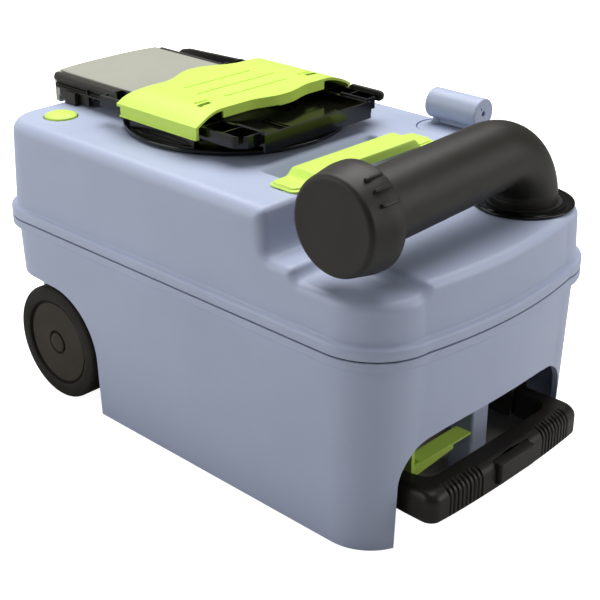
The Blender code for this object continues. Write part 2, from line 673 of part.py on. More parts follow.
# ---- top fittings -------------------------------------------------------------------------
def build_carry_grip():
    low = TOP_Z + GAP
    foot_top = TOP_Z + 0.0035
    bar_top = TOP_Z + 0.0085
    profile = [
        (-0.0785, low), (-0.0785, foot_top), (-0.0640, foot_top), (-0.0545, bar_top), (0.0545, bar_top),
        (0.0640, foot_top), (0.0785, foot_top), (0.0785, low), (0.0590, low), (0.0530, TOP_Z + 0.0045),
        (-0.0530, TOP_Z + 0.0045), (-0.0590, low),
    ]
    placed = [(GRIP_X + x, z) for x, z in profile]
    grip = part("carry_grip", prism_y(placed, GRIP_Y - 0.0125, GRIP_Y + 0.0125), LIME)
    front = GRIP_Y - 0.0125
    drop = box_mesh(GRIP_X - 0.0535, GRIP_X + 0.0535, front, front + 0.003, 0.2390, bar_top - 0.0004)
    unite(grip, cutter("grip_front_edge", drop))


def build_vent_button():
    rim = TOP_Z - 0.002
    levels = [
        (BUTTON_RADIUS, rim), (BUTTON_RADIUS, TOP_Z + 0.0012), (BUTTON_RADIUS - 0.0012, TOP_Z + 0.0024),
        (0.0080, TOP_Z + 0.0034), (0.0030, TOP_Z + 0.0037),
    ]
    part("vent_button", loft(stack_z(BUTTON_X, BUTTON_Y, levels, 32)), LIME)
    spring = coil(BUTTON_X, BUTTON_Y, 0.2232, 0.0085, 0.0006, 3.5, rim - 0.2234)
    part("vent_spring", spring, STEEL)
    stem = loft(stack_z(BUTTON_X, BUTTON_Y, [
        (0.0034, 0.2085), (0.0034, rim - GAP)], 16))
    part("vent_stem", stem, BLACK)
    part("vent_valve_seal", ring_z(BUTTON_X, BUTTON_Y, 0.0037, 0.0090, 0.2100, 0.2120, 24), RUBBER)


def build_vent_housing():
    top = TOP_Z - 0.0004
    part("vent_base", cylinder_z(VENT_X, VENT_Y, VENT_RADIUS, 0.2338, top, 32), SHELL_BLUE)
    half = VENT_TUBE_LENGTH / 2
    rings = []
    for radius, along in (
        (VENT_TUBE_RADIUS - 0.002, half), (VENT_TUBE_RADIUS, half - 0.002), (VENT_TUBE_RADIUS, -half + 0.001),
        (VENT_TUBE_RADIUS - 0.001, -half), (0.0012, -half), (0.0012, -half + 0.006),
    ):
        y = VENT_TUBE_Y + along
        rings.append([(VENT_TUBE_X + u, y, VENT_TUBE_Z + v) for u, v in circle_points(radius, 28)])
    housing = part("vent_housing", loft(rings), SHELL_BLUE)
    post = cylinder_z(VENT_TUBE_X - 0.002, VENT_Y + 0.009, 0.0040, top + GAP, VENT_TUBE_Z, 12)
    unite(housing, cutter("vent_post", post))


# ---- pull handle --------------------------------------------------------------------------
def handle_plan():
    front = HANDLE_FRONT_Y
    rear = HANDLE_REAR_Y
    half = HANDLE_HALF_WIDTH
    right = [
        (0.0, front), (0.050, front + 0.0008), (0.0800, front + 0.0022), (0.0865, front + 0.0045),
        (half, front + 0.0095), (half, rear + 0.012), (ARM_OUTER_X, rear + 0.026),
        (ARM_OUTER_X, ARM_REAR_Y), (ARM_INNER_X, ARM_REAR_Y), (ARM_INNER_X, rear + 0.015),
        (0.0712, rear + 0.0062), (0.0610, rear),
    ]
    left = [(-x, y) for x, y in right[1:]]
    return right + left[::-1]


def build_pull_handle():
    low = HANDLE_LOW_Z + 0.003
    high = HANDLE_TOP_Z - 0.001
    handle = part("pull_handle", prism_z(handle_plan(), low, high), BLACK)
    bar_plan = [p for p in handle_plan() if p[1] < HANDLE_REAR_Y + 0.006]
    bar_plan.insert(0, bar_plan.pop())
    bar = loft([
        [(x * 0.985, y + (0.002 if y < -0.221 else 0.0), HANDLE_LOW_Z) for x, y in bar_plan],
        [(x, y, HANDLE_LOW_Z + 0.004) for x, y in bar_plan],
        [(x, y, HANDLE_TOP_Z - 0.008) for x, y in bar_plan],
        [(x * 0.985, y + (0.006 if y < -0.221 else 0.0), HANDLE_TOP_Z) for x, y in bar_plan],
    ])
    unite(handle, cutter("handle_bar", bar))
    half = LATCH_HALF_WIDTH + 0.0005
    subtract(handle, cutter_box("latch_well", -half, half, -0.260, -0.2190, 0.0310, 0.0494))
    latch = part("handle_latch", box_mesh(
        -LATCH_HALF_WIDTH, LATCH_HALF_WIDTH, LATCH_FRONT_Y, -0.2290, 0.0315, 0.0489), BLACK)
    modifier = latch.modifiers.new("edges", "BEVEL")
    modifier.width = 0.001
    modifier.segments = 1
    spring = coil(0.0, -0.2288, 0.0387, 0.0045, 0.0005, 4.0, 0.0095, along_y=True)
    part("latch_spring", spring, STEEL)


def build_handle_guide(side, sign):
    x0, x1 = sorted((sign * (ARM_INNER_X - 0.004), sign * (ARM_OUTER_X + 0.004)))
    guide = part(f"handle_guide_{side}", box_mesh(x0, x1, -0.180, 0.088, 0.0265, FLOOR_Z - GAP), BLACK)
    x0, x1 = sorted((sign * (ARM_INNER_X - 0.0004), sign * (ARM_OUTER_X + 0.0004)))
    low = HANDLE_LOW_Z + 0.003 - 0.0004
    high = HANDLE_TOP_Z - 0.001 + 0.0004
    subtract(guide, cutter_box(f"guide_bore_{side}", x0, x1, -0.300, 0.300, low, high))


def build_lower_grip():
    grip = part("lower_grip", box_mesh(-0.0530, 0.0058, -0.1890, -0.1755, 0.0435, 0.0452), LIME)
    web = [(-0.0620, 0.0362), (-0.0600, 0.0362), (-0.0520, 0.0435), (-0.0520, 0.0452), (-0.0620, 0.0385)]
    unite(grip, cutter("lower_grip_web", prism_y(web, -0.1890, -0.1770)))
    lip = [(-0.0610, 0.0362), (-0.0560, 0.0362), (-0.0150, 0.0400), (-0.0150, 0.0440), (-0.0540, 0.0440)]
    unite(grip, cutter("lower_grip_lip", prism_y(lip, -0.1888, -0.1872)))
    unite(grip, cutter_box("lower_grip_stay", -0.0640, -0.0605, -0.1885, -0.1775, 0.0370, BAY_ROOF_Z - GAP))


def shift_layout():
    for item in bpy.data.objects:
        for vertex in item.data.vertices:
            vertex.co.y += LAYOUT_SHIFT_Y


build_lower_shell()
build_upper_shell()
build_tank_seal()
build_valve_flange()
build_valve_blade()
build_mechanism_frame()
build_side_bar()
build_cover()
build_bridge()
build_spout()
build_cap()
build_carry_grip()
build_vent_button()
build_vent_housing()
build_pull_handle()
build_lower_grip()
for side_name, side_sign in (("left", -1), ("right", 1)):
    build_wheel(side_name, side_sign)
    build_rail(side_name, side_sign)
    build_handle_guide(side_name, side_sign)
shift_layout()
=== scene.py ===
"""Looks of a wheeled waste holding tank: moulded shells, valve slider, spout, handle and wheels.

Metres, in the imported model's frame. Shapes are laid out about the middle of the seam flange, as the
CAD source does, and mesh_object moves each mesh by SHIFT_Y into the frame.
"""

from math import cos, hypot, pi, radians, sin

import bmesh
import bpy
import numpy as np
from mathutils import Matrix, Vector


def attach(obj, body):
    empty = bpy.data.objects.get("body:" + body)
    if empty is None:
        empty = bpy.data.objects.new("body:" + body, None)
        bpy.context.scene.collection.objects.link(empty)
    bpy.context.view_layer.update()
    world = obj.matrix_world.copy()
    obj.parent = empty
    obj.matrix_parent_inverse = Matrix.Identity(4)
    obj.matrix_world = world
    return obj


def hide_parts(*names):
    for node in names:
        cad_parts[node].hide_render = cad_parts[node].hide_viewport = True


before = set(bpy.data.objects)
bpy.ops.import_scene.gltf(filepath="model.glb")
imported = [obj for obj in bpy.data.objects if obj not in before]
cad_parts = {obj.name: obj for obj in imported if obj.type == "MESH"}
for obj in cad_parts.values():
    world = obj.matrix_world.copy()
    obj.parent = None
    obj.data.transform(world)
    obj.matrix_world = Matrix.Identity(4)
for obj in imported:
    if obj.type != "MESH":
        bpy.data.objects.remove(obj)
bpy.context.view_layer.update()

# ---- layout ----
SHIFT_Y = 0.00825
SIDES = (("left", -1), ("right", 1))

# ---- tank shells ----
HALF_WIDTH = 0.133
HALF_LENGTH = 0.215
FRONT_CORNER_RADIUS = 0.05
REAR_CORNER_RADIUS = 0.04
FRONT_BOW = 0.0085
SEAM_Z = 0.1555
LIP_HEIGHT = 0.008
SEAL_THICKNESS = 0.0008
SKIRT_INSET = 0.0099
LOWER_WALL_INSET = 0.0052
UPPER_WALL_INSET = 0.0045
SHOULDER_INSET = 0.0076
WALL_FOOT_Z = 0.164
DECK_SHOULDER = 0.01
SHELF_SHOULDER = 0.0068
TOP_Z = 0.237
SHELF_Z = 0.203
STEP_Y = -0.103
POCKET_Z = 0.195
POCKET_EDGE_X = -0.08
POCKET_EDGE_Y = -0.129
POCKET_EDGE_Z = 0.199
HOLLOW_FRONT_Y = -0.09
HOLLOW_REAR_Y = -0.056
HOLLOW_FLOOR_Z = 0.216
HOLLOW_HALF = 0.059
WALL = 0.004
FLOOR_Z = 0.062
BAY_ROOF_Z = 0.092
BAY_END_Y = -0.12

# ---- wheels ----
WHEEL_RADIUS = 0.05
WHEEL_Y = 0.1492
WHEEL_FACE_X = 0.1273
WHEEL_WIDTH = 0.028
POCKET_RADIUS = 0.0525
POCKET_INNER_X = 0.095

# ---- valve mechanism ----
VALVE_Y = 0.057
FLANGE_RADIUS = 0.0895
FLANGE_TOP_Z = 0.242
MOUTH_RADIUS = 0.052
FRAME_BASE_Z = 0.251
FRAME_TOP_Z = 0.26
RAIL_FRONT_Y = 0.1313
RAIL_REAR_Y = 0.214
COVER_HALF = 0.053
COVER_TOP_Z = 0.26
BRIDGE_HALF = 0.085
BRIDGE_THICKNESS = 0.0022
PEG_X = 0.066
PEG_Y = 0.054
WING_TOP_Z = 0.2625
CROWN_TOP_Z = 0.27

# ---- spout ----
SPOUT_X = 0.0855
SPOUT_Y = -0.1667
TUBE_RADIUS = 0.0263
TUBE_WALL = 0.003
BEND_RADIUS = 0.049
TUBE_Z = 0.2498
CAP_Z = 0.2445
CAP_RADIUS = 0.0384
CAP_FACE_X = -0.1285
CAP_REAR_X = -0.1

# ---- top fittings ----
GRIP_X = -0.0095
GRIP_Y = -0.0812
GRIP_HALF = 0.0785
GRIP_HALF_WIDTH = 0.0125
GRIP_FOOT_X = 0.059
BUTTON_X = -0.089
BUTTON_Y = 0.17
BUTTON_RADIUS = 0.0132
VENT_X = 0.106
VENT_Y = -0.071
VENT_RADIUS = 0.0196
VENT_TUBE_X = 0.1147
VENT_TUBE_Y = -0.08
VENT_TUBE_Z = 0.252
VENT_TUBE_RADIUS = 0.0121
VENT_TUBE_HALF = 0.025

# ---- pull handle ----
HANDLE_FRONT_Y = -0.2335
HANDLE_REAR_Y = -0.2112
HANDLE_HALF = 0.0905
HANDLE_INNER_X = 0.074
HANDLE_LOW_Z = 0.026
HANDLE_TOP_Z = 0.0505
BAR_STRAIGHT_X = 0.062
GROOVE_START_X = 0.0375
GROOVE_PITCH = 0.00437
GROOVES = 9
ARM_X = 0.0815
ARM_HALF = 0.0065
ARM_REAR_Y = 0.13
LATCH_HALF = 0.0215
LATCH_LOW_Z = 0.0315
LATCH_TOP_Z = 0.0489


# ---- mesh helpers ----
def loft(rings, closed=False, bm=None):
    """Skin through rings of equal length: capped at both ends, or joined last to first."""
    bm = bmesh.new() if bm is None else bm
    loops = [[bm.verts.new(point) for point in ring] for ring in rings]
    count = len(rings[0])
    pairs = list(zip(loops, loops[1:]))
    if closed:
        pairs.append((loops[-1], loops[0]))
    for lower, upper in pairs:
        for i in range(count):
            j = (i + 1) % count
            bm.faces.new((lower[i], lower[j], upper[j], upper[i]))
    if not closed:
        bm.faces.new(loops[0][::-1])
        bm.faces.new(loops[-1])
    return bm


def circle(radius, segments):
    step = 2 * pi / segments
    return [(radius * cos(i * step), radius * sin(i * step)) for i in range(segments)]


def lathe_z(x, y, levels, segments=96, closed=False):
    """Levels are (radius, z) pairs about the vertical line through (x, y)."""
    rings = [[(x + u, y + v, z) for u, v in circle(radius, segments)] for radius, z in levels]
    return loft(rings, closed)


def lathe_x(y, z, levels, segments=96, closed=False):
    """Levels are (radius, x) pairs about the line through (y, z) along X."""
    rings = [[(x, y + u, z + v) for u, v in circle(radius, segments)] for radius, x in levels]
    return loft(rings, closed)


def arc(center, radius, start, stop, steps):
    """Points on an arc as (a, b) pairs; angles in degrees."""
    points = []
    for k in range(steps + 1):
        angle = radians(start + (stop - start) * k / steps)
        points.append((center[0] + radius * cos(angle), center[1] + radius * sin(angle)))
    return points


def box_mesh(x0, x1, y0, y1, z0, z1):
    """Box; x0 and x1 may come in either order, which suits mirrored pairs."""
    x0, x1 = sorted((x0, x1))
    plan = [(x0, y0), (x1, y0), (x1, y1), (x0, y1)]
    return loft([[(x, y, z) for x, y in plan] for z in (z0, z1)])


def prism(points, start, stop, axis):
    """Extrudes a flat outline along axis 0 (y, z pairs), 1 (x, z pairs) or 2 (x, y pairs)."""
    rings = []
    for along in sorted((start, stop)):
        rings.append([((along, a, b), (a, along, b), (a, b, along))[axis] for a, b in points])
    return loft(rings)


def rounded_rect(x0, x1, y0, y1, radius, steps=6):
    x0, x1 = sorted((x0, x1))
    points = arc((x1 - radius, y0 + radius), radius, -90, 0, steps)
    points += arc((x1 - radius, y1 - radius), radius, 0, 90, steps)
    points += arc((x0 + radius, y1 - radius), radius, 90, 180, steps)
    points += arc((x0 + radius, y0 + radius), radius, 180, 270, steps)
    return points


def smooth(t):
    t = min(1.0, max(0.0, t))
    return t * t * (3 - 2 * t)


def shade_smooth(item):
    for polygon in item.data.polygons:
        polygon.use_smooth = True


def link_mesh(name, bm):
    mesh = bpy.data.meshes.new(name)
    bm.to_mesh(mesh)
    bm.free()
    item = bpy.data.objects.new(name, mesh)
    bpy.context.scene.collection.objects.link(item)
    return item


def mesh_object(name, bm):
    """Links the mesh as an object, moved from the layout into the frame."""
    bmesh.ops.recalc_face_normals(bm, faces=bm.faces)
    for vertex in bm.verts:
        vertex.co.y += SHIFT_Y
    return link_mesh(name, bm)


def combine(item, operation, shapes):
    """Applies the shapes, objects or loose meshes, to the object's mesh and removes them."""
    tools = []
    for shape in shapes:
        tool = mesh_object("tool", shape) if isinstance(shape, bmesh.types.BMesh) else shape
        modifier = item.modifiers.new("tool", "BOOLEAN")
        modifier.operation = operation
        modifier.solver = "EXACT"
        modifier.object = tool
        tools.append(tool)
    bake_modifiers(item)
    for tool in tools:
        bpy.data.objects.remove(tool)


def cut(item, *shapes):
    combine(item, "DIFFERENCE", shapes)


def fuse(item, *shapes):
    combine(item, "UNION", shapes)


def bake_modifiers(item):
    bpy.context.view_layer.update()
    graph = bpy.context.evaluated_depsgraph_get()
    mesh = bpy.data.meshes.new_from_object(item.evaluated_get(graph))
    old = item.data
    item.modifiers.clear()
    item.data = mesh
    bpy.data.meshes.remove(old)


def round_edges(item, bevel, segments, angle):
    """Rounds hard edges by the bevel width and evens out the shading across the rest."""
    if bevel:
        modifier = item.modifiers.new("rounded_edges", "BEVEL")
        modifier.width = bevel
        modifier.segments = segments
        modifier.limit_method = "ANGLE"
        modifier.angle_limit = radians(angle)
        modifier.use_clamp_overlap = True
        bake_modifiers(item)
    item.data.set_sharp_from_angle(angle=radians(angle))
    weighted = item.modifiers.new("weighted_normals", "WEIGHTED_NORMAL")
    weighted.keep_sharp = True
    bake_modifiers(item)


def place(item, body, node):
    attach(item, body)
    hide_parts(node)


def paint(item, material):
    item.data.materials.clear()
    item.data.materials.append(material)


def add_piece(item, material, body, node, bevel=0.0, segments=2, angle=35.0):
    """Gives the object its material and shading and puts it in the CAD node's place."""
    paint(item, material)
    shade_smooth(item)
    round_edges(item, bevel, segments, angle)
    place(item, body, node)


# ---- materials ----
def set_inputs(node, values):
    for name, value in values.items():
        node.inputs[name].default_value = value


def noise_node(tree, vector, scale, detail):
    node = tree.nodes.new("ShaderNodeTexNoise")
    set_inputs(node, {"Scale": scale, "Detail": detail})
    tree.links.new(vector, node.inputs["Vector"])
    return node.outputs["Fac"]


def ramp_node(tree, factor, start, stop, level):
    """Grey that rises from black at start to the level at stop."""
    node = tree.nodes.new("ShaderNodeValToRGB")
    first, last = node.color_ramp.elements
    first.position = start
    first.color = (0, 0, 0, 1)
    last.position = stop
    last.color = (level, level, level, 1)
    tree.links.new(factor, node.inputs["Fac"])
    return node.outputs["Color"]


def mix_color(tree, factor, first, second):
    node = tree.nodes.new("ShaderNodeMix")
    node.data_type = "RGBA"
    tree.links.new(factor, node.inputs[0])
    for socket, value in ((node.inputs[6], first), (node.inputs[7], second)):
        if isinstance(value, tuple):
            socket.default_value = (*value, 1)
        else:
            tree.links.new(value, socket)
    return node.outputs[2]


def plastic(name, color, worn, roughness, grain, metallic=0.0, specular=0.5):
    """Moulded plastic: faint colour drift, handling haze, fine grain and light wear specks."""
    material = bpy.data.materials.new(name)
    material.use_nodes = True
    tree = material.node_tree
    shader = tree.nodes["Principled BSDF"]
    coords = tree.nodes.new("ShaderNodeTexCoord").outputs["Object"]
    drift = ramp_node(tree, noise_node(tree, coords, 9.0, 3.0), 0.35, 0.7, 1.0)
    tone = mix_color(tree, drift, color, tuple(0.94 * c for c in color))
    specks = ramp_node(tree, noise_node(tree, coords, 260.0, 6.0), 0.66, 0.8, 0.55)
    tone = mix_color(tree, specks, tone, worn)
    tree.links.new(tone, shader.inputs["Base Color"])
    haze = tree.nodes.new("ShaderNodeMapRange")
    smoothest, roughest = roughness
    set_inputs(haze, {"From Min": 0.3, "From Max": 0.75, "To Min": smoothest, "To Max": roughest})
    tree.links.new(noise_node(tree, coords, 38.0, 5.0), haze.inputs["Value"])
    tree.links.new(haze.outputs["Result"], shader.inputs["Roughness"])
    bump = tree.nodes.new("ShaderNodeBump")
    set_inputs(bump, {"Strength": grain, "Distance": 0.00012})
    tree.links.new(noise_node(tree, coords, 1400.0, 2.0), bump.inputs["Height"])
    tree.links.new(bump.outputs["Normal"], shader.inputs["Normal"])
    set_inputs(shader, {"Metallic": metallic, "Specular IOR Level": specular})
    return material


SHELL = plastic("shell_plastic", (0.455, 0.512, 0.675), (0.53, 0.58, 0.74), (0.4, 0.5), 0.25)
LIME = plastic("lime_plastic_look", (0.66, 0.92, 0.13), (0.74, 0.95, 0.24), (0.38, 0.48), 0.2)
COVER = plastic("cover_plastic", (0.385, 0.385, 0.322), (0.45, 0.44, 0.38), (0.42, 0.52), 0.3)
SATIN_BLACK = plastic(
    "satin_black", (0.02, 0.018, 0.0135), (0.036, 0.033, 0.027), (0.42, 0.52), 0.3, specular=0.35)
GLOSS_BLACK = plastic(
    "gloss_black", (0.0035, 0.0032, 0.0026), (0.01, 0.009, 0.008), (0.1, 0.16), 0.06, specular=0.4)
HANDLE_BLACK = plastic(
    "handle_black", (0.014, 0.0115, 0.008), (0.03, 0.026, 0.02), (0.36, 0.46), 0.45, specular=0.3)
TYRE_BLACK = plastic(
    "tyre_black", (0.014, 0.0125, 0.01), (0.028, 0.026, 0.022), (0.55, 0.7), 0.6, specular=0.2)
DISC_BLACK = plastic(
    "wheel_disc_black", (0.044, 0.038, 0.028), (0.06, 0.052, 0.04), (0.6, 0.75), 0.5, specular=0.2)
RUBBER = plastic("seal_rubber_look", (0.01, 0.01, 0.01), (0.02, 0.02, 0.02), (0.7, 0.85), 0.5)
STEEL = plastic("bright_steel", (0.55, 0.55, 0.56), (0.42, 0.41, 0.4), (0.22, 0.34), 0.15, metallic=1.0)


# ---- distance fields for the moulded top shell ----
def round_max(a, b, radius):
    """Intersection of two solids with its convex edge rounded."""
    outside = np.hypot(np.maximum(a + radius, 0), np.maximum(b + radius, 0))
    return np.minimum(-radius, np.maximum(a, b)) + outside


def round_min(a, b, radius):
    """Union of two solids with its concave corner filled."""
    return -round_max(-a, -b, radius)


def plan_distance(x, y):
    """Signed distance to the tank's outline, with the front edge bowed outwards."""
    radius = np.where(y < 0, FRONT_CORNER_RADIUS, REAR_CORNER_RADIUS)
    t = np.clip(np.abs(x) / (HALF_WIDTH - FRONT_CORNER_RADIUS), 0, 1)
    near_front = np.clip(-y / 0.1, 0, 1)
    bowed = y + FRONT_BOW * (1 - t * t) * near_front
    qx = np.abs(x) - (HALF_WIDTH - radius)
    qy = np.abs(bowed) - (HALF_LENGTH - radius)
    return np.hypot(np.maximum(qx, 0), np.maximum(qy, 0)) + np.minimum(np.maximum(qx, qy), 0) - radius


def half_space(u, v, u0, v0, angle):
    """Signed distance beyond a line through (u0, v0) whose outward normal is at angle degrees."""
    return (u - u0) * cos(radians(angle)) + (v - v0) * sin(radians(angle))


def top_shell_field(x, y, z):
    """Side wall and roof met by the shoulder; the roof drops to the spout shelf and its pocket."""
    rise = np.clip((z - WALL_FOOT_Z) / (TOP_Z - WALL_FOOT_Z), 0, 1)
    wall = plan_distance(x, y) + UPPER_WALL_INSET + (SHOULDER_INSET - UPPER_WALL_INSET) * rise
    step = half_space(y, z, STEP_Y, SHELF_Z, 172)
    pocket_side = half_space(x, z, POCKET_EDGE_X, POCKET_EDGE_Z, -22)
    pocket_rear = half_space(y, z, POCKET_EDGE_Y, POCKET_EDGE_Z, -22)
    pocket = round_max(pocket_side, pocket_rear, 0.012)
    deck_roof = round_max(z - TOP_Z, step, 0.0045)
    shelf_roof = round_min(round_max(z - SHELF_Z, -pocket, 0.003), z - POCKET_Z, 0.005)
    roof = round_min(deck_roof, shelf_roof, 0.006)
    ahead = np.clip((-0.085 - y) / 0.03, 0, 1)
    tightening = ahead * ahead * (3 - 2 * ahead) * (DECK_SHOULDER - SHELF_SHOULDER)
    body = round_max(wall, roof, DECK_SHOULDER - tightening)

    hollow = round_max(HOLLOW_FRONT_Y - y, HOLLOW_FLOOR_Z - z, 0.004)
    hollow = round_max(hollow, half_space(y, z, HOLLOW_REAR_Y, HOLLOW_FLOOR_Z, -38), 0.008)
    hollow = round_max(hollow, np.abs(x - GRIP_X) - HOLLOW_HALF, 0.006)
    return round_max(body, -hollow, 0.0025)


def lining_field(x, y, z):
    return top_shell_field(x, y, z) + WALL


def net_surface(field, low, high, step):
    """Quad mesh on the field's zero surface; each point is then moved onto the exact surface."""
    axes = [np.arange(low[k], high[k] + step, step) for k in range(3)]
    values = np.empty([len(axis) for axis in axes], np.float32)
    yy, zz = np.meshgrid(axes[1], axes[2], indexing="ij")
    for i, x in enumerate(axes[0]):
        values[i] = field(np.full_like(yy, x), yy, zz)
    inside = values < 0
    shape = [n - 1 for n in values.shape]
    corners = [(i, j, k) for i in (0, 1) for j in (0, 1) for k in (0, 1)]

    def window(grid, offset):
        i, j, k = offset
        return grid[i:i + shape[0], j:j + shape[1], k:k + shape[2]]

    count = sum(window(inside, offset).astype(np.int8) for offset in corners)
    active = (count > 0) & (count < 8)
    cells = np.argwhere(active)
    index = np.full(shape, -1, np.int64)
    index[active] = np.arange(len(cells))
    corner_values = {offset: window(values, offset)[active] for offset in corners}
    total = np.zeros((len(cells), 3))
    hits = np.zeros(len(cells))
    for first in corners:
        for axis in range(3):
            if first[axis]:
                continue
            second = tuple(1 if k == axis else first[k] for k in range(3))
            a, b = corner_values[first], corner_values[second]
            crossing = (a < 0) != (b < 0)
            point = np.tile(np.array(first, float), (len(cells), 1))
            point[:, axis] += np.where(crossing, a / np.where(crossing, a - b, 1), 0)
            total += point * crossing[:, None]
            hits += crossing
    points = np.array(low) + (cells + total / hits[:, None]) * step
    for _ in range(3):
        points -= pull_to_surface(field, points, step)
    return points, surface_quads(inside, index, shape)


def surface_quads(inside, index, shape):
    """One quad for each grid edge that crosses the surface, through the four cells around it."""
    faces = []
    for axis in range(3):
        u, v = [k for k in range(3) if k != axis]
        near = [slice(None)] * 3
        far = [slice(None)] * 3
        near[axis] = slice(0, shape[axis])
        far[axis] = slice(1, shape[axis] + 1)
        edges = np.argwhere(inside[tuple(near)] != inside[tuple(far)])
        keep = (edges[:, u] > 0) & (edges[:, v] > 0) & (edges[:, u] < shape[u]) & (edges[:, v] < shape[v])
        edges = edges[keep]
        quad = []
        for du, dv in ((1, 1), (0, 1), (0, 0), (1, 0)):
            cell = edges.copy()
            cell[:, u] -= du
            cell[:, v] -= dv
            quad.append(index[tuple(cell.T)])
        faces.append(np.stack(quad, axis=1))
    return np.concatenate(faces)


def pull_to_surface(field, points, limit):
    """Newton step of each point along the field's slope, at most the limit along each axis."""
    small = 0.0002
    value = field(*points.T)
    slope = np.empty_like(points)
    for k in range(3):
        offset = small * np.eye(3)[k]
        slope[:, k] = (field(*(points + offset).T) - field(*(points - offset).T)) / (2 * small)
    length = np.maximum((slope ** 2).sum(axis=1), 0.25)
    return np.clip(slope * (value / length)[:, None], -limit, limit)


def skin(field, step):
    """The field's surface over the whole top shell, open where it would be shut off at the seam."""
    low = (-0.136, -0.227, 0.157)
    points, faces = net_surface(field, low, (0.136, 0.218, 0.24), step)
    kept = faces[(points[faces][:, :, 2] > low[2] + 1.5 * step).any(axis=1)]
    bm = bmesh.new()
    verts = [bm.verts.new(point) for point in points]
    for face in kept:
        bm.faces.new([verts[i] for i in face])
    loose = [vertex for vertex in bm.verts if not vertex.link_faces]
    bmesh.ops.delete(bm, geom=loose, context="VERTS")
    return bm


# ---- tank outline ----
def tank_plan(inset, corner_steps=18, front_steps=24, front=-HALF_LENGTH, rear=HALF_LENGTH, bow=FRONT_BOW):
    """Outline in plan, inset from the seam flange, between the given front and rear edges."""
    half = HALF_WIDTH - inset
    front += inset
    rear -= inset
    front_radius = max(FRONT_CORNER_RADIUS - inset, 0.004)
    rear_radius = max(REAR_CORNER_RADIUS - inset, 0.004)
    points = []
    for k in range(front_steps + 1):
        t = -1 + 2 * k / front_steps
        points.append((t * (half - front_radius), front - bow * (1 - t * t)))
    corners = [
        (half - front_radius, front + front_radius, front_radius, -90),
        (half - rear_radius, rear - rear_radius, rear_radius, 0),
        (-half + rear_radius, rear - rear_radius, rear_radius, 90),
        (-half + front_radius, front + front_radius, front_radius, 180),
    ]
    for cx, cy, radius, start in corners:
        for point in arc((cx, cy), radius, start, start + 90, corner_steps):
            if all(hypot(point[0] - p[0], point[1] - p[1]) > 1e-6 for p in (points[0], points[-1])):
                points.append(point)
    return points


def tank_loft(levels, closed=False, **plan):
    """Levels are (inset, z) pairs of the tank's outline."""
    return loft([[(x, y, z) for x, y in tank_plan(inset, **plan)] for inset, z in levels], closed)


def both_sides(half, middle=()):
    """A half outline, the points between and its mirror image in x."""
    return [*half, *middle, *[(-x, b) for x, b in half[::-1]]]


# ---- upper shell ----
def flared_hole(x, y, radius, bottom, flare):
    """Round cutter down from the deck that leaves the hole's edge rounded."""
    levels = [(radius, bottom), (radius, TOP_Z - flare)]
    levels += arc((radius + flare, TOP_Z - flare), flare, 180, 100, 6)
    rim = levels[-1][0] + 0.004
    return lathe_z(x, y, [*levels, (rim, TOP_Z + 0.0006), (rim, TOP_Z + 0.004)])


def build_upper_shell():
    shell = mesh_object("top_shell", skin(top_shell_field, 0.00165))
    lining = mesh_object("lining", skin(lining_field, 0.0045))
    for item in (shell, lining):
        mouth = lathe_z(0, VALVE_Y, [(0.0597, 0.2), (0.0597, 0.26)])
        port = lathe_z(SPOUT_X, SPOUT_Y, [(0.024, 0.17), (0.024, 0.22)], 64)
        cut(item, mouth, port)
    cut(lining, lathe_z(BUTTON_X, BUTTON_Y, [(0.0155, 0.215), (0.0155, 0.245)], 48))
    button_well = flared_hole(BUTTON_X, BUTTON_Y, BUTTON_RADIUS + 0.0009, 0.2225, 0.001)
    vent_seat = flared_hole(VENT_X, VENT_Y, VENT_RADIUS + 0.0008, 0.2335, 0.0004)
    cut(shell, button_well, vent_seat)
    bottom = SEAM_Z + SEAL_THICKNESS - 0.0003
    top = SEAM_Z + LIP_HEIGHT + SEAL_THICKNESS
    profile = [
        (0.012, bottom), (0.0006, bottom), (0.0001, bottom + 0.0006), (0.0, bottom + 0.0014),
        (0.0, top - 0.0016), (0.0004, top - 0.0006), (0.0012, top - 0.0001), (0.003, top + 0.0001),
        (0.004, top + 0.0006), (0.0046, top + 0.0018), (0.012, top + 0.0018),
    ]
    lip = mesh_object("lip", tank_loft(profile, closed=True))
    merged = bmesh.new()
    for item in (shell, lining, lip):
        merged.from_mesh(item.data)
    merged.to_mesh(shell.data)
    merged.free()
    bpy.data.objects.remove(lining)
    bpy.data.objects.remove(lip)
    paint(shell, SHELL)
    shade_smooth(shell)
    shell.data.set_sharp_from_angle(angle=radians(40))
    place(shell, "tank", "upper_shell")


# ---- lower shell ----
def wheel_pocket(inner_x, sign, grow=0.0):
    """Room round a wheel, from inner_x to beyond the side wall; grow adds to its radius."""
    radius = POCKET_RADIUS + grow
    points = [(WHEEL_Y - radius, -0.01)]
    points += arc((WHEEL_Y, WHEEL_RADIUS), radius, 180, 90, 28)
    points += [(0.24, WHEEL_RADIUS + radius + 0.004), (0.24, -0.01)]
    return prism(points, sign * inner_x, sign * 0.15, 0)


def front_notch():
    """Arch over the handle: straight legs, rounded corners and a slightly crowned top."""
    half = [(0.098, -0.01), (0.098, 0.051)]
    corner = arc((0.065, 0.051), 0.033, 4, 84, 14)
    half += [(x, z) for x, z in corner if z < 0.0842]
    half += [(0.056, 0.086), (0.036, 0.0876), (0.018, 0.0884)]
    return prism(both_sides(half, [(0.0, 0.0886)]), -0.26, -0.192, 1)


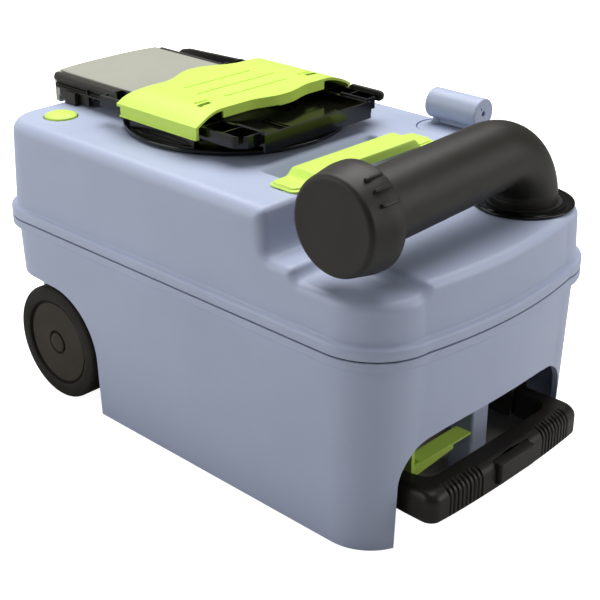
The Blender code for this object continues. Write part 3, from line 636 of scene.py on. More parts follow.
def build_lower_shell():
    lip_z = SEAM_Z - LIP_HEIGHT
    shell = mesh_object("base_shell", tank_loft([
        (SKIRT_INSET, 0.0), (LOWER_WALL_INSET + 0.0001, lip_z - 0.0022),
        (LOWER_WALL_INSET - 0.0012, lip_z - 0.0006), (0.0016, lip_z), (0.0005, lip_z + 0.0005),
        (0.0, lip_z + 0.0014), (0.0, SEAM_Z - 0.0016), (0.0003, SEAM_Z - 0.0008), (0.0009, SEAM_Z - 0.0005),
    ]))
    inner = SKIRT_INSET + WALL
    coarse = {"corner_steps": 8, "front_steps": 6}
    room_low = mesh_object("room_low", tank_loft(
        [(inner, FLOOR_Z + WALL), (inner, BAY_ROOF_Z + WALL + 0.001)],
        front=BAY_END_Y - inner + WALL, bow=0.0, **coarse))
    room_high = mesh_object("room_high", tank_loft(
        [(inner - 0.003, BAY_ROOF_Z + WALL), (inner - 0.006, SEAM_Z + 0.01)], **coarse))
    under_room = mesh_object("under_room", tank_loft([(inner, -0.002), (inner - 0.001, FLOOR_Z)], **coarse))
    bay_room = tank_loft(
        [(inner, -0.002), (inner - 0.002, BAY_ROOF_Z)], rear=BAY_END_Y + inner, corner_steps=10)
    wall_x = POCKET_INNER_X - WALL
    for sign in (-1, 1):
        cut(room_low, wheel_pocket(wall_x, sign, WALL))
        cut(room_high, wheel_pocket(wall_x, sign, WALL))
        cut(under_room, box_mesh(sign * wall_x, sign * POCKET_INNER_X, 0.094, 0.23, 0.02, 0.08))
    cutters = [room_low, room_high, under_room, bay_room, front_notch()]
    for sign in (-1, 1):
        cutters.append(wheel_pocket(POCKET_INNER_X, sign))
        hole = [(0.0043, x) for x in sorted((sign * 0.088, sign * 0.098))]
        cutters.append(lathe_x(WHEEL_Y, WHEEL_RADIUS, hole, 24))
    cut(shell, *cutters)
    post = rounded_rect(0.0115, 0.0325, -0.186, -0.164, 0.0025)
    fuse(shell, prism(post, 0.0, BAY_ROOF_Z + 0.002, 2))
    add_piece(shell, SHELL, "tank", "lower_shell", bevel=0.0009, angle=40)


# ---- wheels ----
def wheel_lathe(sign, profile, segments, closed=False):
    """Profile points are (radius, depth behind the wheel's outer face)."""
    levels = [(radius, sign * (WHEEL_FACE_X - depth)) for radius, depth in profile]
    return lathe_x(WHEEL_Y, WHEEL_RADIUS, levels, segments, closed)


def build_wheel(side, sign):
    shoulder = arc((0.0465, 0.0038), 0.0035, -75, 0, 6)
    profile = [
        (0.0045, 0.0042), (0.0096, 0.0042), (0.0102, 0.0038), (0.0104, 0.0018), (0.011, 0.0012),
        (0.02, 0.0014), (0.033, 0.0016), (0.0352, 0.002), (0.0357, 0.0032), (0.0366, 0.0034),
        (0.0372, 0.0028), (0.0378, 0.0008), (0.0388, 0.0001), (0.042, 0.0), (0.0455, 0.0003),
        *shoulder, (WHEEL_RADIUS, WHEEL_WIDTH / 2), *[(r, WHEEL_WIDTH - d) for r, d in shoulder[::-1]],
        (0.044, WHEEL_WIDTH), (0.012, WHEEL_WIDTH), (0.0045, WHEEL_WIDTH),
    ]
    wheel = mesh_object(f"wheel_{side}_body", wheel_lathe(sign, profile, 128, closed=True))
    add_piece(wheel, TYRE_BLACK, f"{side}_wheel", f"wheel_{side}")
    wheel.data.materials.append(DISC_BLACK)
    for polygon in wheel.data.polygons:
        middle = polygon.center
        if hypot(middle.y - SHIFT_Y - WHEEL_Y, middle.z - WHEEL_RADIUS) < 0.0355:
            polygon.material_index = 1
    profile = [(0.0086, 0.0037), (0.0086, 0.0014), (0.0082, 0.0009), (0.007, 0.0006)]
    profile += [(0.003, 0.0004), (0.0012, 0.0007)]
    hub = mesh_object(f"hub_{side}_disc", wheel_lathe(sign, profile, 64))
    add_piece(hub, DISC_BLACK, f"{side}_wheel", f"hub_cap_{side}")


# ---- valve mechanism ----
def build_flange():
    top = FLANGE_TOP_Z
    mouth = MOUTH_RADIUS
    levels = [
        (mouth, 0.228), (mouth + 0.0074, 0.228), (mouth + 0.0074, TOP_Z + 0.0003),
        (0.0865, TOP_Z + 0.0003), (0.0865, top - 0.0034), (0.0889, top - 0.0034),
        (0.0894, top - 0.0031), (FLANGE_RADIUS, top - 0.0026),
        *arc((FLANGE_RADIUS - 0.0012, top - 0.0012), 0.0012, 0, 90, 5),
        (0.0855, top), (0.085, top - 0.0004), (0.0838, top - 0.0004), (0.0833, top),
        (0.07, top), (mouth + 0.001, top), (mouth, top - 0.0008),
    ]
    disc = mesh_object("flange_disc", lathe_z(0.0, VALVE_Y, levels, 160, closed=True))
    add_piece(disc, GLOSS_BLACK, "tank", "valve_flange")


def build_frame():
    """Tray that carries the cover: glossy floor, rounded front wall and ribbed side bays."""
    floor = FRAME_BASE_Z + 0.0025
    above = 0.27
    foot_z = FLANGE_TOP_Z + 0.0003
    low = FRAME_BASE_Z + 0.002
    plan = [
        (0.059, -0.037), (0.0592, -0.031), (0.07, -0.031), (0.0765, -0.0245), (0.078, -0.021),
        (0.078, 0.131),
    ]
    tray = mesh_object("tray", prism(both_sides(plan), FRAME_BASE_Z, FRAME_TOP_Z, 2))
    bay_starts = (-0.0285, -0.009, 0.0125, 0.0415, 0.0715, 0.1015, 0.1305)
    rib = 0.0015
    cuts = [box_mesh(-0.0545, 0.0545, -0.0345, 0.14, floor, above)]
    adds = [box_mesh(-0.0588, 0.0588, -0.0368, -0.0352, 0.2466, FRAME_BASE_Z + 0.0004)]
    adds.append(box_mesh(-0.03, 0.03, -0.028, -0.01, foot_z, FRAME_BASE_Z + 0.001))
    for sign in (-1, 1):
        for start, stop in zip(bay_starts, bay_starts[1:]):
            cuts.append(box_mesh(sign * 0.0572, sign * 0.075, start, stop - rib, floor, above))
        cuts.append(box_mesh(sign * 0.0622, sign * 0.0702, PEG_Y - 0.008, 0.14, 0.24, above))
        adds += [
            box_mesh(sign * 0.0725, sign * 0.0775, 0.02, 0.095, foot_z, FRAME_BASE_Z + 0.001),
            box_mesh(sign * 0.056, sign * 0.0592, -0.0335, -0.006, low, FRAME_TOP_Z + 0.0016),
            box_mesh(sign * 0.056, sign * 0.072, -0.01, -0.0088, low, FRAME_TOP_Z - 0.001),
        ]
    cuts.append(lathe_z(0.0, VALVE_Y, [(MOUTH_RADIUS, 0.245), (MOUTH_RADIUS, 0.257)]))
    for x in (-0.0235, -0.0195):
        adds.append(box_mesh(x, x + 0.001, -0.034, 0.002, floor - 0.0002, floor + 0.0018))
    cut(tray, *cuts)
    fuse(tray, *adds)
    add_piece(tray, GLOSS_BLACK, "tank", "mechanism_frame", bevel=0.0005)


def build_rail(side, sign):
    """Guide rail with a raised upper bead, a groove below it and a foot down to the deck."""
    outline = [
        (0.0546, 0.2474), (0.0605, 0.2474), (0.0605, 0.2505), (0.0588, 0.251), (0.0588, 0.253),
        (0.0612, 0.2536), (0.0616, 0.256), (0.0606, 0.2582), (0.0585, 0.2592), (0.056, 0.259),
        (0.0546, 0.258), (0.0546, 0.2535), (0.048, 0.2535), (0.048, 0.251), (0.0546, 0.251),
    ]
    rail = mesh_object("rail", prism([(sign * x, z) for x, z in outline], RAIL_FRONT_Y, RAIL_REAR_Y, 1))
    foot_top = 0.248
    strip = (sign * 0.0596, sign * 0.0624)
    fuse(
        rail,
        box_mesh(sign * 0.0592, sign * 0.065, 0.182, 0.196, TOP_Z + 0.0004, foot_top),
        box_mesh(sign * 0.056, sign * 0.06, 0.17, 0.204, TOP_Z + 0.0012, foot_top),
        box_mesh(*strip, RAIL_FRONT_Y, RAIL_REAR_Y - 0.004, 0.2478, 0.2492),
        *[box_mesh(*strip, y, y + 0.0012, 0.2478, 0.2532) for y in (0.15, 0.168)],
    )
    add_piece(rail, SATIN_BLACK, "tank", f"cover_rail_{side}", bevel=0.0005, angle=30)


def build_side_bar():
    """Slim rail along the right of the cover: raised ahead of the bridge, drooping at the rear."""
    outline = [
        (-0.0315, 0.26), (-0.03, 0.2618), (-0.0275, 0.2625), (0.002, 0.2625), (0.006, 0.2588),
        (0.128, 0.2588), (0.2, 0.2563), (0.2095, 0.2543), (0.2138, 0.2515), (0.2125, 0.249),
        (0.2, 0.2477), (0.128, 0.2527), (-0.0275, 0.254), (-0.0308, 0.256),
    ]
    bar = mesh_object("bar_right", prism(outline, 0.0783, 0.0815, 0))
    add_piece(bar, SATIN_BLACK, "tank", "side_bar", bevel=0.0009, segments=3)


def build_cover():
    """Thin plate with rolled side edges and a slightly bowed rear lip."""
    half, top = COVER_HALF, COVER_TOP_Z
    rolled = [(-half, 0.2541), (-half, top - 0.0012), (-0.0526, top - 0.0005), (-0.0518, top - 0.0001)]
    outline = both_sides([*rolled, (-0.03, top)], [(0.0, top)])
    outline += both_sides([(0.0512, 0.2541), (0.051, 0.258)], [(0.0, 0.2582)])
    rings = [[(x, y, z) for x, z in outline] for y in (0.0752, 0.12, 0.17, 0.205, 0.2145)]
    lip = []
    for z, grow in ((0.2583, 0.0003), (0.2586, 0.0), (0.2596, 0.0), (top, 0.0006)):
        edge = half - grow
        ring = [(edge, 0.21), (edge, 0.215)]
        for k in range(13):
            x = edge * (1 - k / 6)
            ring.append((x, 0.2208 - grow - 0.0045 * (abs(x) / half) ** 3))
        ring += [(-edge, 0.215), (-edge, 0.21)]
        lip.append([(x, y, z) for x, y in ring])
    plate = mesh_object("cover_plate", loft(rings))
    fuse(plate, loft(lip))
    add_piece(plate, COVER, "cover", "sliding_cover", bevel=0.0004, angle=30)


def build_end_plate():
    """Upright plate behind the cover, with a flange and a drilled boss at each side."""
    outline = rounded_rect(-0.056, 0.056, 0.232, 0.2576, 0.0022)
    plate = mesh_object("end_plate", prism(outline, 0.2166, 0.2205, 1))
    adds, cuts = [], []
    for sign in (-1, 1):
        adds.append(box_mesh(sign * 0.0532, sign * 0.0562, 0.2143, 0.217, 0.2385, 0.2571))
        for store, radius, y0, y1 in ((cuts, 0.0019, 0.21, 0.23), (adds, 0.0032, 0.215, 0.2208)):
            outline = [(sign * 0.05 + a, 0.2524 + b) for a, b in circle(radius, 24)]
            store.append(prism(outline, y0, y1, 1))
    fuse(plate, *adds)
    cut(plate, *cuts)
    add_piece(plate, COVER, "tank", "cover_end_cap", bevel=0.0005)


def bridge_front(x):
    """Front edge of the bridge: a bulge beside the middle, straight next to it, forward at the ends."""
    y = 0.0041 + 0.0064 * smooth((abs(x - 0.0045) - 0.003) / 0.031)
    return y - 0.0018 * smooth((abs(x) - 0.06) / 0.022)


def bridge_rear(x):
    """Rear edge: a bulge beside the middle and ends that reach back again."""
    bulge = 0.0135 * smooth(1 - (abs(x - 0.002) - 0.002) / 0.04)
    return 0.0962 + bulge + 0.0045 * smooth((abs(x) - 0.06) / 0.02)


def bridge_top(x):
    """Height of the crown, which falls off to the wings."""
    t = max(0.0, abs(x) - 0.056) / 0.0265
    return max(CROWN_TOP_Z - 0.0075 * t * t, WING_TOP_Z - 0.0012)


def bridge_skin():
    """Closed shell between the bridge's front and rear edges."""
    rows, columns = 26, 85
    rings = []
    for x in [BRIDGE_HALF * (2 * k / columns - 1) for k in range(columns + 1)]:
        front, rear, top = bridge_front(x), bridge_rear(x), bridge_top(x)
        line = [front + (rear - front) * k / rows for k in range(rows + 1)]
        upper = [(x, y, top) for y in line]
        rings.append(upper + [(x, y, top - BRIDGE_THICKNESS) for y in line[::-1]])
    return loft(rings)


def build_bridge():
    bridge = mesh_object("bridge_shell", bridge_skin())
    lap = 0.001
    front_wall = []
    for x in [0.0555 * (k / 40 - 1) for k in range(81)]:
        y = bridge_front(x)
        top = bridge_top(x) - 0.0012
        low = 0.2622 if x < -0.002 else 0.2614
        front_wall.append([(x, y, low), (x, y + 0.002, low), (x, y + 0.002, top), (x, y, top)])
    adds = [loft(front_wall)]
    ledge_low = bridge_top(0.062) - lap
    for sign in (-1, 1):
        peg = (sign * (PEG_X - 0.003), sign * (PEG_X + 0.003), PEG_Y - 0.006, PEG_Y + 0.006)
        adds += [
            box_mesh(sign * 0.0824, sign * 0.085, 0.0086, 0.0965, 0.2525, WING_TOP_Z - 0.0012),
            box_mesh(sign * 0.0822, sign * 0.0858, 0.0084, 0.0967, 0.2515, 0.2529),
            box_mesh(*peg, 0.2467, bridge_top(PEG_X) - lap),
            box_mesh(sign * 0.05, sign * 0.062, 0.0335, 0.0355, ledge_low, CROWN_TOP_Z + 0.0007),
        ]
    fuse(bridge, *adds)
    cuts = []
    for y, x0, x1 in ((0.0714, -0.0405, 0.031), (0.0518, -0.046, 0.04), (0.0323, -0.034, 0.034)):
        cuts.append(box_mesh(x0, x1, y - 0.0008, y + 0.0008, CROWN_TOP_Z - 0.0006, 0.275))
    for sign in (-1, 1):
        cuts.append(box_mesh(sign * 0.0525, sign * 0.0645, 0.0258, 0.0305, 0.255, 0.275))
    cut(bridge, *cuts)
    add_piece(bridge, LIME, "valve", "slider_bridge", bevel=0.0005)


# ---- spout ----
def tube_stations():
    """Centreline stations (x, z, tilt) from the collar round the bend to the neck."""
    bend_x = SPOUT_X - BEND_RADIUS
    bend_z = TUBE_Z - BEND_RADIUS
    run_length = 0.147
    neck_x = -0.09
    start = radians(6.2)
    stop = pi / 2 + (TUBE_Z - CAP_Z) / run_length
    stations = []
    for k in range(41):
        angle = start + (stop - start) * k / 40
        tilt = angle * smooth((angle - start) / radians(22))
        stations.append((bend_x + BEND_RADIUS * cos(angle), bend_z + BEND_RADIUS * sin(angle), tilt))
    last_x, last_z = stations[-1][:2]
    for k in range(1, 13):
        t = k / 12
        stations.append((last_x + (neck_x - last_x) * t, last_z + (CAP_Z + 0.0006 - last_z) * t, stop))
    return stations


def section(radius, x, z, tilt):
    """Ring of the tube; its inner side is drawn in round the bend, which makes the crook tighter."""
    pinch = 0.005 * sin(2 * tilt) if 0 < tilt < pi / 2 else 0.0
    ring = []
    for u, v in circle(radius, 96):
        if u < 0:
            u *= 1 - pinch / TUBE_RADIUS
        ring.append((x + u * cos(tilt), SPOUT_Y + v, z + u * sin(tilt)))
    return ring


def build_spout():
    """Elbow tube with a collar at its neck that goes into the cap, and its bore."""
    stations = tube_stations()
    neck = [
        (TUBE_RADIUS, -0.1015), (0.0345, -0.104), (0.0345, -0.115), (0.034, -0.1155),
        (0.0315, -0.1155), (0.0315, -0.105), (TUBE_RADIUS - TUBE_WALL, -0.103),
    ]
    rings = [section(TUBE_RADIUS, *station) for station in stations]
    rings += [section(radius, x, *stations[-1][1:]) for radius, x in neck]
    rings += [section(TUBE_RADIUS - TUBE_WALL, *station) for station in stations[::-1]]
    pipe = mesh_object("spout_pipe", loft(rings, closed=True))
    add_piece(pipe, SATIN_BLACK, "spout", "spout_tube")


def build_collar():
    base = SHELF_Z + 0.0003
    levels = [
        (0.0245, base), (0.0383, base), *arc((0.038, base + 0.0012), 0.0008, -60, 70, 6),
        (0.0364, base + 0.0021), (0.0356, base + 0.0017), (0.0342, base + 0.0016), (0.0336, base + 0.0021),
        (0.033, base + 0.0027), (0.0306, base + 0.0027), (0.03, base + 0.0024), (0.0298, base + 0.002),
        (0.0245, base + 0.002),
    ]
    disc = mesh_object("collar_disc", lathe_z(SPOUT_X, SPOUT_Y, levels, 128, closed=True))
    add_piece(disc, GLOSS_BLACK, "tank", "spout_collar")


def add_rib(bm, angle):
    """Adds a rib along X to the cap's skirt, at angle degrees from the top towards the front."""
    x0, x1 = -0.117, CAP_REAR_X - 0.0014
    half_width = 0.0017
    height = 0.0018
    turn = radians(angle)
    outline = both_sides([(-1, -0.8), (-0.92, 0.35), (-0.66, 0.9)], [(0, 1)])
    rings = []
    for k in range(13):
        t = k / 12
        end = min(1.0, 5 * min(t, 1 - t) + 0.45) ** 0.5
        x = x0 + (x1 - x0) * t
        ring = []
        for u, v in outline:
            side = u * half_width * end
            reach = CAP_RADIUS - 0.0003 + v * height * end
            y = -reach * sin(turn) - side * cos(turn)
            z = reach * cos(turn) - side * sin(turn)
            ring.append((x, SPOUT_Y + y, CAP_Z + z))
        rings.append(ring)
    loft(rings, bm=bm)


def build_cap():
    """Screw cap with a tapered front half and three short ribs on each of two opposite sides."""
    face = CAP_FACE_X
    radius = CAP_RADIUS
    levels = [
        (0.001, face + 0.0006), (0.02, face + 0.0005), (0.026, face + 0.0003),
        *arc((radius - 0.0074, face + 0.0042), 0.0042, 270, 352, 12),
        (radius - 0.0008, face + 0.017), (radius - 0.0002, face + 0.0205), (radius, face + 0.023),
        (radius, CAP_REAR_X - 0.0008), (radius - 0.0003, CAP_REAR_X - 0.0002), (radius - 0.0009, CAP_REAR_X),
        (0.0353, CAP_REAR_X), (0.0353, face + 0.0094), (0.034, face + 0.0085), (0.001, face + 0.0085),
    ]
    bm = lathe_x(SPOUT_Y, CAP_Z, levels, 128)
    for angle in (27.5, 42.5, 58, 207.5, 222.5, 238):
        add_rib(bm, angle)
    cap = mesh_object("cap_shell", bm)
    add_piece(cap, SATIN_BLACK, "cap", "spout_cap")


# ---- top fittings ----
def grip_top(x):
    """Height of the carry grip's top at x from its centre: low feet and a raised bar."""
    return TOP_Z + 0.0036 + 0.0052 * smooth((0.061 - abs(x)) / 0.0075)


def end_round(distance, radius):
    """How far a quarter round pulls an edge in at this distance from the end."""
    if distance >= radius:
        return 0.0
    return radius - (radius ** 2 - (radius - distance) ** 2) ** 0.5


def build_grip():
    rings = []
    steps = 78
    r = 0.0026
    for k in range(steps + 1):
        x = -GRIP_HALF + 2 * GRIP_HALF * k / steps
        end = GRIP_HALF - abs(x)
        width = GRIP_HALF_WIDTH - end_round(end, 0.008)
        top = grip_top(x) - end_round(end, 0.003)
        under = TOP_Z + 0.0003 + 0.001 * smooth((GRIP_FOOT_X - abs(x)) / 0.005)
        edge = [(-width, under), (-width, top - r), (-width + 0.29 * r, top - 0.29 * r), (-width + r, top)]
        rings.append([(GRIP_X + x, GRIP_Y + y, z) for y, z in both_sides(edge)])
    grip = mesh_object("grip_bar", loft(rings))
    foot = []
    for inset, z in ((0.0, TOP_Z + 0.0003), (0.0, TOP_Z + 0.0014), (0.0006, TOP_Z + 0.0018)):
        outline = rounded_rect(GRIP_X - GRIP_HALF + inset, GRIP_X - GRIP_FOOT_X - inset,
                               GRIP_Y - 0.0148 + inset, GRIP_Y + 0.0131 - inset, 0.006)
        foot.append([(x, y, z) for x, y in outline])
    fuse(grip, loft(foot), loft([[(2 * GRIP_X - x, y, z) for x, y, z in ring] for ring in foot]))
    add_piece(grip, LIME, "tank", "carry_grip", bevel=0.0006, segments=3, angle=30)


def build_button():
    """Domed button with a hollow underside."""
    radius = BUTTON_RADIUS
    levels = [
        (0.0006, TOP_Z + 0.0012), (0.0102, TOP_Z + 0.0012), (0.0102, TOP_Z - 0.002),
        (radius - 0.0006, TOP_Z - 0.002), (radius, TOP_Z - 0.0014), (radius, TOP_Z + 0.0006),
    ]
    for k in range(12):
        t = k / 11
        height = 0.001 + 0.0026 * (1 - (1 - t) ** 2.2)
        levels.append((radius * (1 - t ** 1.15 * 0.94) - 0.0002, TOP_Z + height))
    button = mesh_object("button_dome", lathe_z(BUTTON_X, BUTTON_Y, levels))
    add_piece(button, LIME, "vent_release", "vent_button")


def build_vent():
    """Round disc in the deck and the lying cylinder on its post, with a small hole in its end."""
    top = TOP_Z - 0.0004
    levels = [
        (VENT_RADIUS - 0.0002, 0.2339), (VENT_RADIUS, 0.2345), (VENT_RADIUS, top - 0.0008),
        *arc((VENT_RADIUS - 0.0008, top - 0.0008), 0.0008, 0, 90, 4), (0.012, top), (0.002, top),
    ]
    disc = mesh_object("vent_disc", lathe_z(VENT_X, VENT_Y, levels))
    add_piece(disc, SHELL, "vent_head", "vent_base")
    half = VENT_TUBE_HALF
    radius = VENT_TUBE_RADIUS
    profile = [
        (0.001, half - 0.0002), (radius - 0.004, half), (radius - 0.0014, half - 0.0003),
        *arc((radius - 0.0014, half - 0.0017), 0.0014, 60, 0, 4), (radius, 0.0), (radius, -half + 0.0012),
        *arc((radius - 0.001, -half + 0.001), 0.001, 0, -90, 4),
        (0.006, -half), (0.0026, -half), (0.0021, -half + 0.0004), (0.002, -half + 0.006),
    ]
    rings = []
    for size, along in profile:
        y = VENT_TUBE_Y + along
        rings.append([(VENT_TUBE_X + u, y, VENT_TUBE_Z + v) for u, v in circle(size, 72)])
    tube = mesh_object("vent_cylinder", loft(rings))
    post = lathe_z(VENT_TUBE_X - 0.002, VENT_Y + 0.009, [
        (0.0058, top + 0.0003), (0.0054, top + 0.0012), (0.0044, top + 0.002), (0.0038, VENT_TUBE_Z - 0.008),
        (0.004, VENT_TUBE_Z)], 32)
    keel = box_mesh(VENT_TUBE_X - 0.0045, VENT_TUBE_X + 0.002, VENT_TUBE_Y - 0.02, VENT_TUBE_Y + 0.014,
                    TOP_Z + 0.0005, VENT_TUBE_Z - 0.0085)
    fuse(tube, post, keel)
    hole = [(VENT_TUBE_X - 0.0036 + a, VENT_TUBE_Z + 0.0042 + b) for a, b in circle(0.001, 16)]
    cut(tube, prism(hole, VENT_TUBE_Y - half - 0.002, VENT_TUBE_Y - half + 0.0006, 1))
    add_piece(tube, SHELL, "vent_head", "vent_housing", angle=40)


# ---- pull handle ----
def handle_front(x):
    """Front face of the bar, slightly bowed between the arms."""
    return HANDLE_FRONT_Y + 0.003 * (x / ARM_X) ** 2


def handle_rails():
    """Pairs of plan points, outer then inner, along the bar from the left arm to its middle."""
    corner = 0.009
    fillet = 0.012
    arm_y = -0.182
    bend_y = handle_front(ARM_X) + corner
    fillet_y = HANDLE_REAR_Y + fillet
    pairs = []
    for k in range(6):
        y = arm_y + (fillet_y - arm_y) * k / 6
        pairs.append(((-HANDLE_HALF, y), (-HANDLE_INNER_X, y)))
    outer = [(-HANDLE_HALF, fillet_y + (bend_y - fillet_y) * k / 6) for k in range(6)]
    outer += arc((-HANDLE_HALF + corner, bend_y), corner, 180, 270, 14)
    last_x = outer[-1][0]
    for k in range(1, 49):
        x = last_x - (BAR_STRAIGHT_X + last_x) * k / 48
        outer.append((x, handle_front(x)))
    inner = arc((-HANDLE_INNER_X + fillet, fillet_y), fillet, 180, 270, len(outer) - 1)
    pairs += list(zip(outer, inner))
    for k in range(1, 161):
        x = BAR_STRAIGHT_X * (k / 160 - 1)
        pairs.append(((x, handle_front(x)), (x, HANDLE_REAR_Y)))
    return pairs


def groove_depth(x):
    """Depth of the finger grooves at x along the bar, equally many on each side of the latch."""
    offset = abs(x) - GROOVE_START_X
    nearest = min(GROOVES - 1, max(0, round(offset / GROOVE_PITCH)))
    return 0.0013 * smooth((0.001 - abs(offset - GROOVE_PITCH * nearest)) / 0.0004)


def bar_section():
    """Points round the bar as (across, height, groove share); across runs 0 behind to 1 in front."""
    low, high = HANDLE_LOW_Z, HANDLE_TOP_Z
    depth = HANDLE_REAR_Y - HANDLE_FRONT_Y
    points = arc((0.0015, low + 0.0015), 0.0015, 180, 270, 8)
    points += arc((depth - 0.0035, low + 0.0035), 0.0035, 270, 360, 8)
    points += [(depth, low + 0.0035 + 0.0125 * k / 6) for k in range(1, 6)]
    points += arc((depth - 0.0085, high - 0.0085), 0.0085, 0, 90, 8)
    points += [(depth - 0.0085 - 0.012 * k / 8, high) for k in range(1, 8)]
    points += arc((0.0018, high - 0.0018), 0.0018, 90, 180, 8)
    shares = [smooth((a / depth - 0.55) / 0.06) * smooth((z - low - 0.0008) / 0.002) for a, z in points]
    return [(a / depth, z, share) for (a, z), share in zip(points, shares)]


def build_handle():
    """Ribbed bar swept round both corners, its two arms, the latch's well and a thumb scoop."""
    pairs = handle_rails()
    pairs += [((-outer[0], outer[1]), (-inner[0], inner[1])) for outer, inner in pairs[:-1][::-1]]
    profile = bar_section()
    middle = (HANDLE_LOW_Z + HANDLE_TOP_Z) / 2
    rings = []
    for outer, inner in pairs:
        reach = hypot(outer[0] - inner[0], outer[1] - inner[1])
        on_arm = smooth((outer[1] + 0.205) / 0.02)
        ring = []
        for across, z, share in profile:
            x = inner[0] + (outer[0] - inner[0]) * across
            depth = groove_depth(x) * share if abs(outer[0]) < ARM_X else 0.0
            inward = depth * smooth((across - 0.6) / 0.3)
            x += (inner[0] - outer[0]) / reach * inward
            y = inner[1] + (outer[1] - inner[1]) * (across - inward / reach)
            z -= depth * smooth((z - middle - 0.004) / 0.008)
            ring.append((x, y, z + 0.1 * (middle - z) * on_arm))
        rings.append(ring)
    handle = mesh_object("handle_bar_body", loft(rings))
    arms = []
    for sign in (-1, 1):
        outline = rounded_rect(sign * (ARM_X - ARM_HALF), sign * (ARM_X + ARM_HALF),
                               HANDLE_LOW_Z + 0.003, HANDLE_TOP_Z - 0.001, 0.002)
        arms.append(prism(outline, -0.195, ARM_REAR_Y, 1))
    fuse(handle, *arms)
    gap = 0.0005
    well = rounded_rect(-LATCH_HALF - gap, LATCH_HALF + gap, LATCH_LOW_Z - gap, LATCH_TOP_Z + gap, 0.001)
    scoop = [[(0.0225 * c, -0.2355 + 0.0078 * s, z) for c, s in circle(1.0, 64)] for z in (0.0475, 0.056)]
    cut(handle, prism(well, -0.26, -0.219, 1), loft(scoop))
    paint(handle, HANDLE_BLACK)
    shade_smooth(handle)
    handle.data.set_sharp_from_angle(angle=radians(45))
    place(handle, "handle", "pull_handle")


def build_latch():
    """Button in the bar's well, with a blind seat for its spring at the back."""
    rings = []
    for y, inset in ((-0.229, 0.0), (-0.235, 0.0), (-0.2368, 0.0006), (-0.2375, 0.0016)):
        half = LATCH_HALF - inset
        outline = rounded_rect(-half, half, LATCH_LOW_Z + inset, LATCH_TOP_Z - inset, 0.0016)
        rings.append([(x, y, z) for x, z in outline])
    latch = mesh_object("latch_key", loft(rings))
    spring_z = 0.0387
    cut(latch, prism([(a, spring_z + b) for a, b in circle(0.006, 32)], -0.235, -0.22, 1))
    add_piece(latch, HANDLE_BLACK, "latch", "handle_latch", angle=40)


def build_guides():
    """Sleeves under the tank's floor in which the arms run."""
    for side, sign in SIDES:
        inner, outer = sign * (ARM_X - ARM_HALF), sign * (ARM_X + ARM_HALF)
        wall, gap = sign * 0.004, sign * 0.0004
        sleeve = box_mesh(inner - wall, outer + wall, -0.18, 0.088, 0.0265, FLOOR_Z - 0.0003)
        bore = box_mesh(inner - gap, outer + gap, -0.3, 0.3, HANDLE_LOW_Z + 0.0026, HANDLE_TOP_Z - 0.0006)
        guide = mesh_object(f"guide_{side}", sleeve)
        cut(guide, bore)
        add_piece(guide, SATIN_BLACK, "tank", f"handle_guide_{side}", bevel=0.0008)


def build_lower_grip():
    """Finger plate on the inside of the front post, with a sloping web, a lip and a stay above."""
    rear_y = -0.189
    grip = mesh_object("inner_grip", box_mesh(-0.053, 0.0058, rear_y, -0.1755, 0.0435, 0.0452))
    web = [(-0.062, 0.0362), (-0.06, 0.0362), (-0.052, 0.0435), (-0.052, 0.0452), (-0.062, 0.0385)]
    lip = [(-0.061, 0.0362), (-0.056, 0.0362), (-0.015, 0.04), (-0.015, 0.044), (-0.054, 0.044)]
    fuse(
        grip,
        prism(web, rear_y, -0.177, 1),
        prism(lip, -0.1888, -0.1872, 1),
        box_mesh(-0.064, -0.052, -0.1886, -0.1868, 0.0366, 0.045),
        box_mesh(-0.064, -0.0605, -0.1885, -0.1775, 0.037, BAY_ROOF_Z - 0.0003),
    )
    add_piece(grip, LIME, "tank", "lower_grip", bevel=0.0004)


# ---- small CAD parts that stay ----
def dress_cad_nodes():
    looks = {
        RUBBER: ("tank_seal", "lip_seal", "spout_seal", "cap_seal", "vent_valve_seal"),
        STEEL: ("axle_pin_left", "axle_pin_right", "vent_spring", "latch_spring"),
        GLOSS_BLACK: ("valve_blade",),
        SATIN_BLACK: ("vent_stem",),
    }
    for material, names in looks.items():
        for name in names:
            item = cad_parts[name]
            paint(item, material)
            if material is STEEL:
                shade_smooth(item)


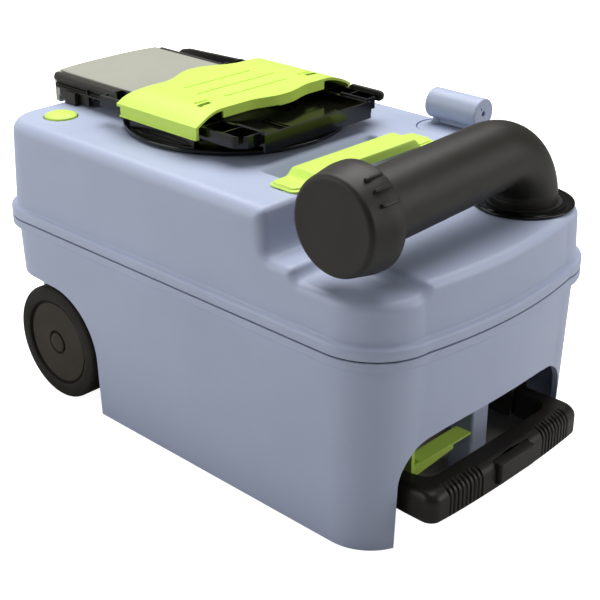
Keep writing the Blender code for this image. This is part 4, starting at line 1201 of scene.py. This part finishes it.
# ---- studio ----
def build_floor():
    """White sweep that rises behind the tank, and a darker plate for the shade under the tank."""
    line = [(-5.0, -0.0004), (1.2, -0.0004), *arc((1.2, 0.7996), 0.8, -90, 0, 16)[1:], (2.0, 2.6)]
    bm = bmesh.new()
    rows = [[bm.verts.new((x, y, z)) for x in (-5.0, 5.0)] for y, z in line]
    for lower, upper in zip(rows, rows[1:]):
        bm.faces.new((lower[0], lower[1], upper[1], upper[0]))
    floor = link_mesh("floor", bm)
    material = bpy.data.materials.new("floor_paint")
    material.use_nodes = True
    tree = material.node_tree
    shader = tree.nodes["Principled BSDF"]
    set_inputs(shader, {"Base Color": (0.55, 0.55, 0.54, 1), "Roughness": 0.9})
    set_inputs(shader, {"Emission Color": (1, 1, 1, 1)})
    seen = tree.nodes.new("ShaderNodeLightPath").outputs["Is Camera Ray"]
    glow = tree.nodes.new("ShaderNodeMath")
    glow.operation = "MULTIPLY"
    glow.inputs[1].default_value = 0.95
    tree.links.new(seen, glow.inputs[0])
    tree.links.new(glow.outputs[0], shader.inputs["Emission Strength"])
    paint(floor, material)
    shade = mesh_object("floor_shade", box_mesh(-0.085, 0.1215, -0.172, 0.085, -0.0003, -0.0002))
    paint(shade, plastic("shaded_floor", (0.5, 0.45, 0.38), (0.52, 0.47, 0.4), (0.6, 0.8), 0.2))


def aim(item, location, target):
    item.location = location
    item.rotation_mode = "QUATERNION"
    item.rotation_quaternion = (Vector(target) - Vector(location)).to_track_quat("-Z", "Y")
    bpy.context.scene.collection.objects.link(item)


def area_light(name, location, target, side, power):
    data = bpy.data.lights.new(name, "AREA")
    data.shape = "RECTANGLE"
    data.size = side
    data.size_y = side
    data.energy = power
    aim(bpy.data.objects.new(name, data), location, target)


def build_lights():
    """Overhead panel and a softbox each for the left side and the front; their corner stays darker."""
    world = bpy.data.worlds.new("studio")
    world.use_nodes = True
    set_inputs(world.node_tree.nodes["Background"], {"Color": (1, 1, 1, 1), "Strength": 0.13})
    bpy.context.scene.world = world
    bpy.context.scene.view_settings.view_transform = "Standard"
    area_light("overhead", (0.45, 0.45, 2.1), (0, 0, 0.1), 2.0, 58.0)
    area_light("left_softbox", (-1.6, 1.0, 0.8), (0, 0, 0.12), 1.2, 12.5)
    area_light("front_right_softbox", (1.0, -1.6, 0.8), (0, 0, 0.12), 1.2, 12.5)


def build_camera():
    data = bpy.data.cameras.new("camera")
    data.sensor_width = 36.0
    data.lens = 78.3785
    camera = bpy.data.objects.new("camera", data)
    aim(camera, (-0.69664946, -0.67662601, 0.55677987), (0.0120645, 0.0040857, 0.0930178))
    bpy.context.scene.camera = camera


build_camera()
build_lights()
build_floor()
dress_cad_nodes()
build_upper_shell()
build_lower_shell()
build_flange()
build_frame()
build_side_bar()
build_cover()
build_end_plate()
build_bridge()
build_spout()
build_collar()
build_cap()
build_grip()
build_button()
build_vent()
build_handle()
build_latch()
build_guides()
build_lower_grip()
for side_name, side_sign in SIDES:
    build_wheel(side_name, side_sign)
    build_rail(side_name, side_sign)
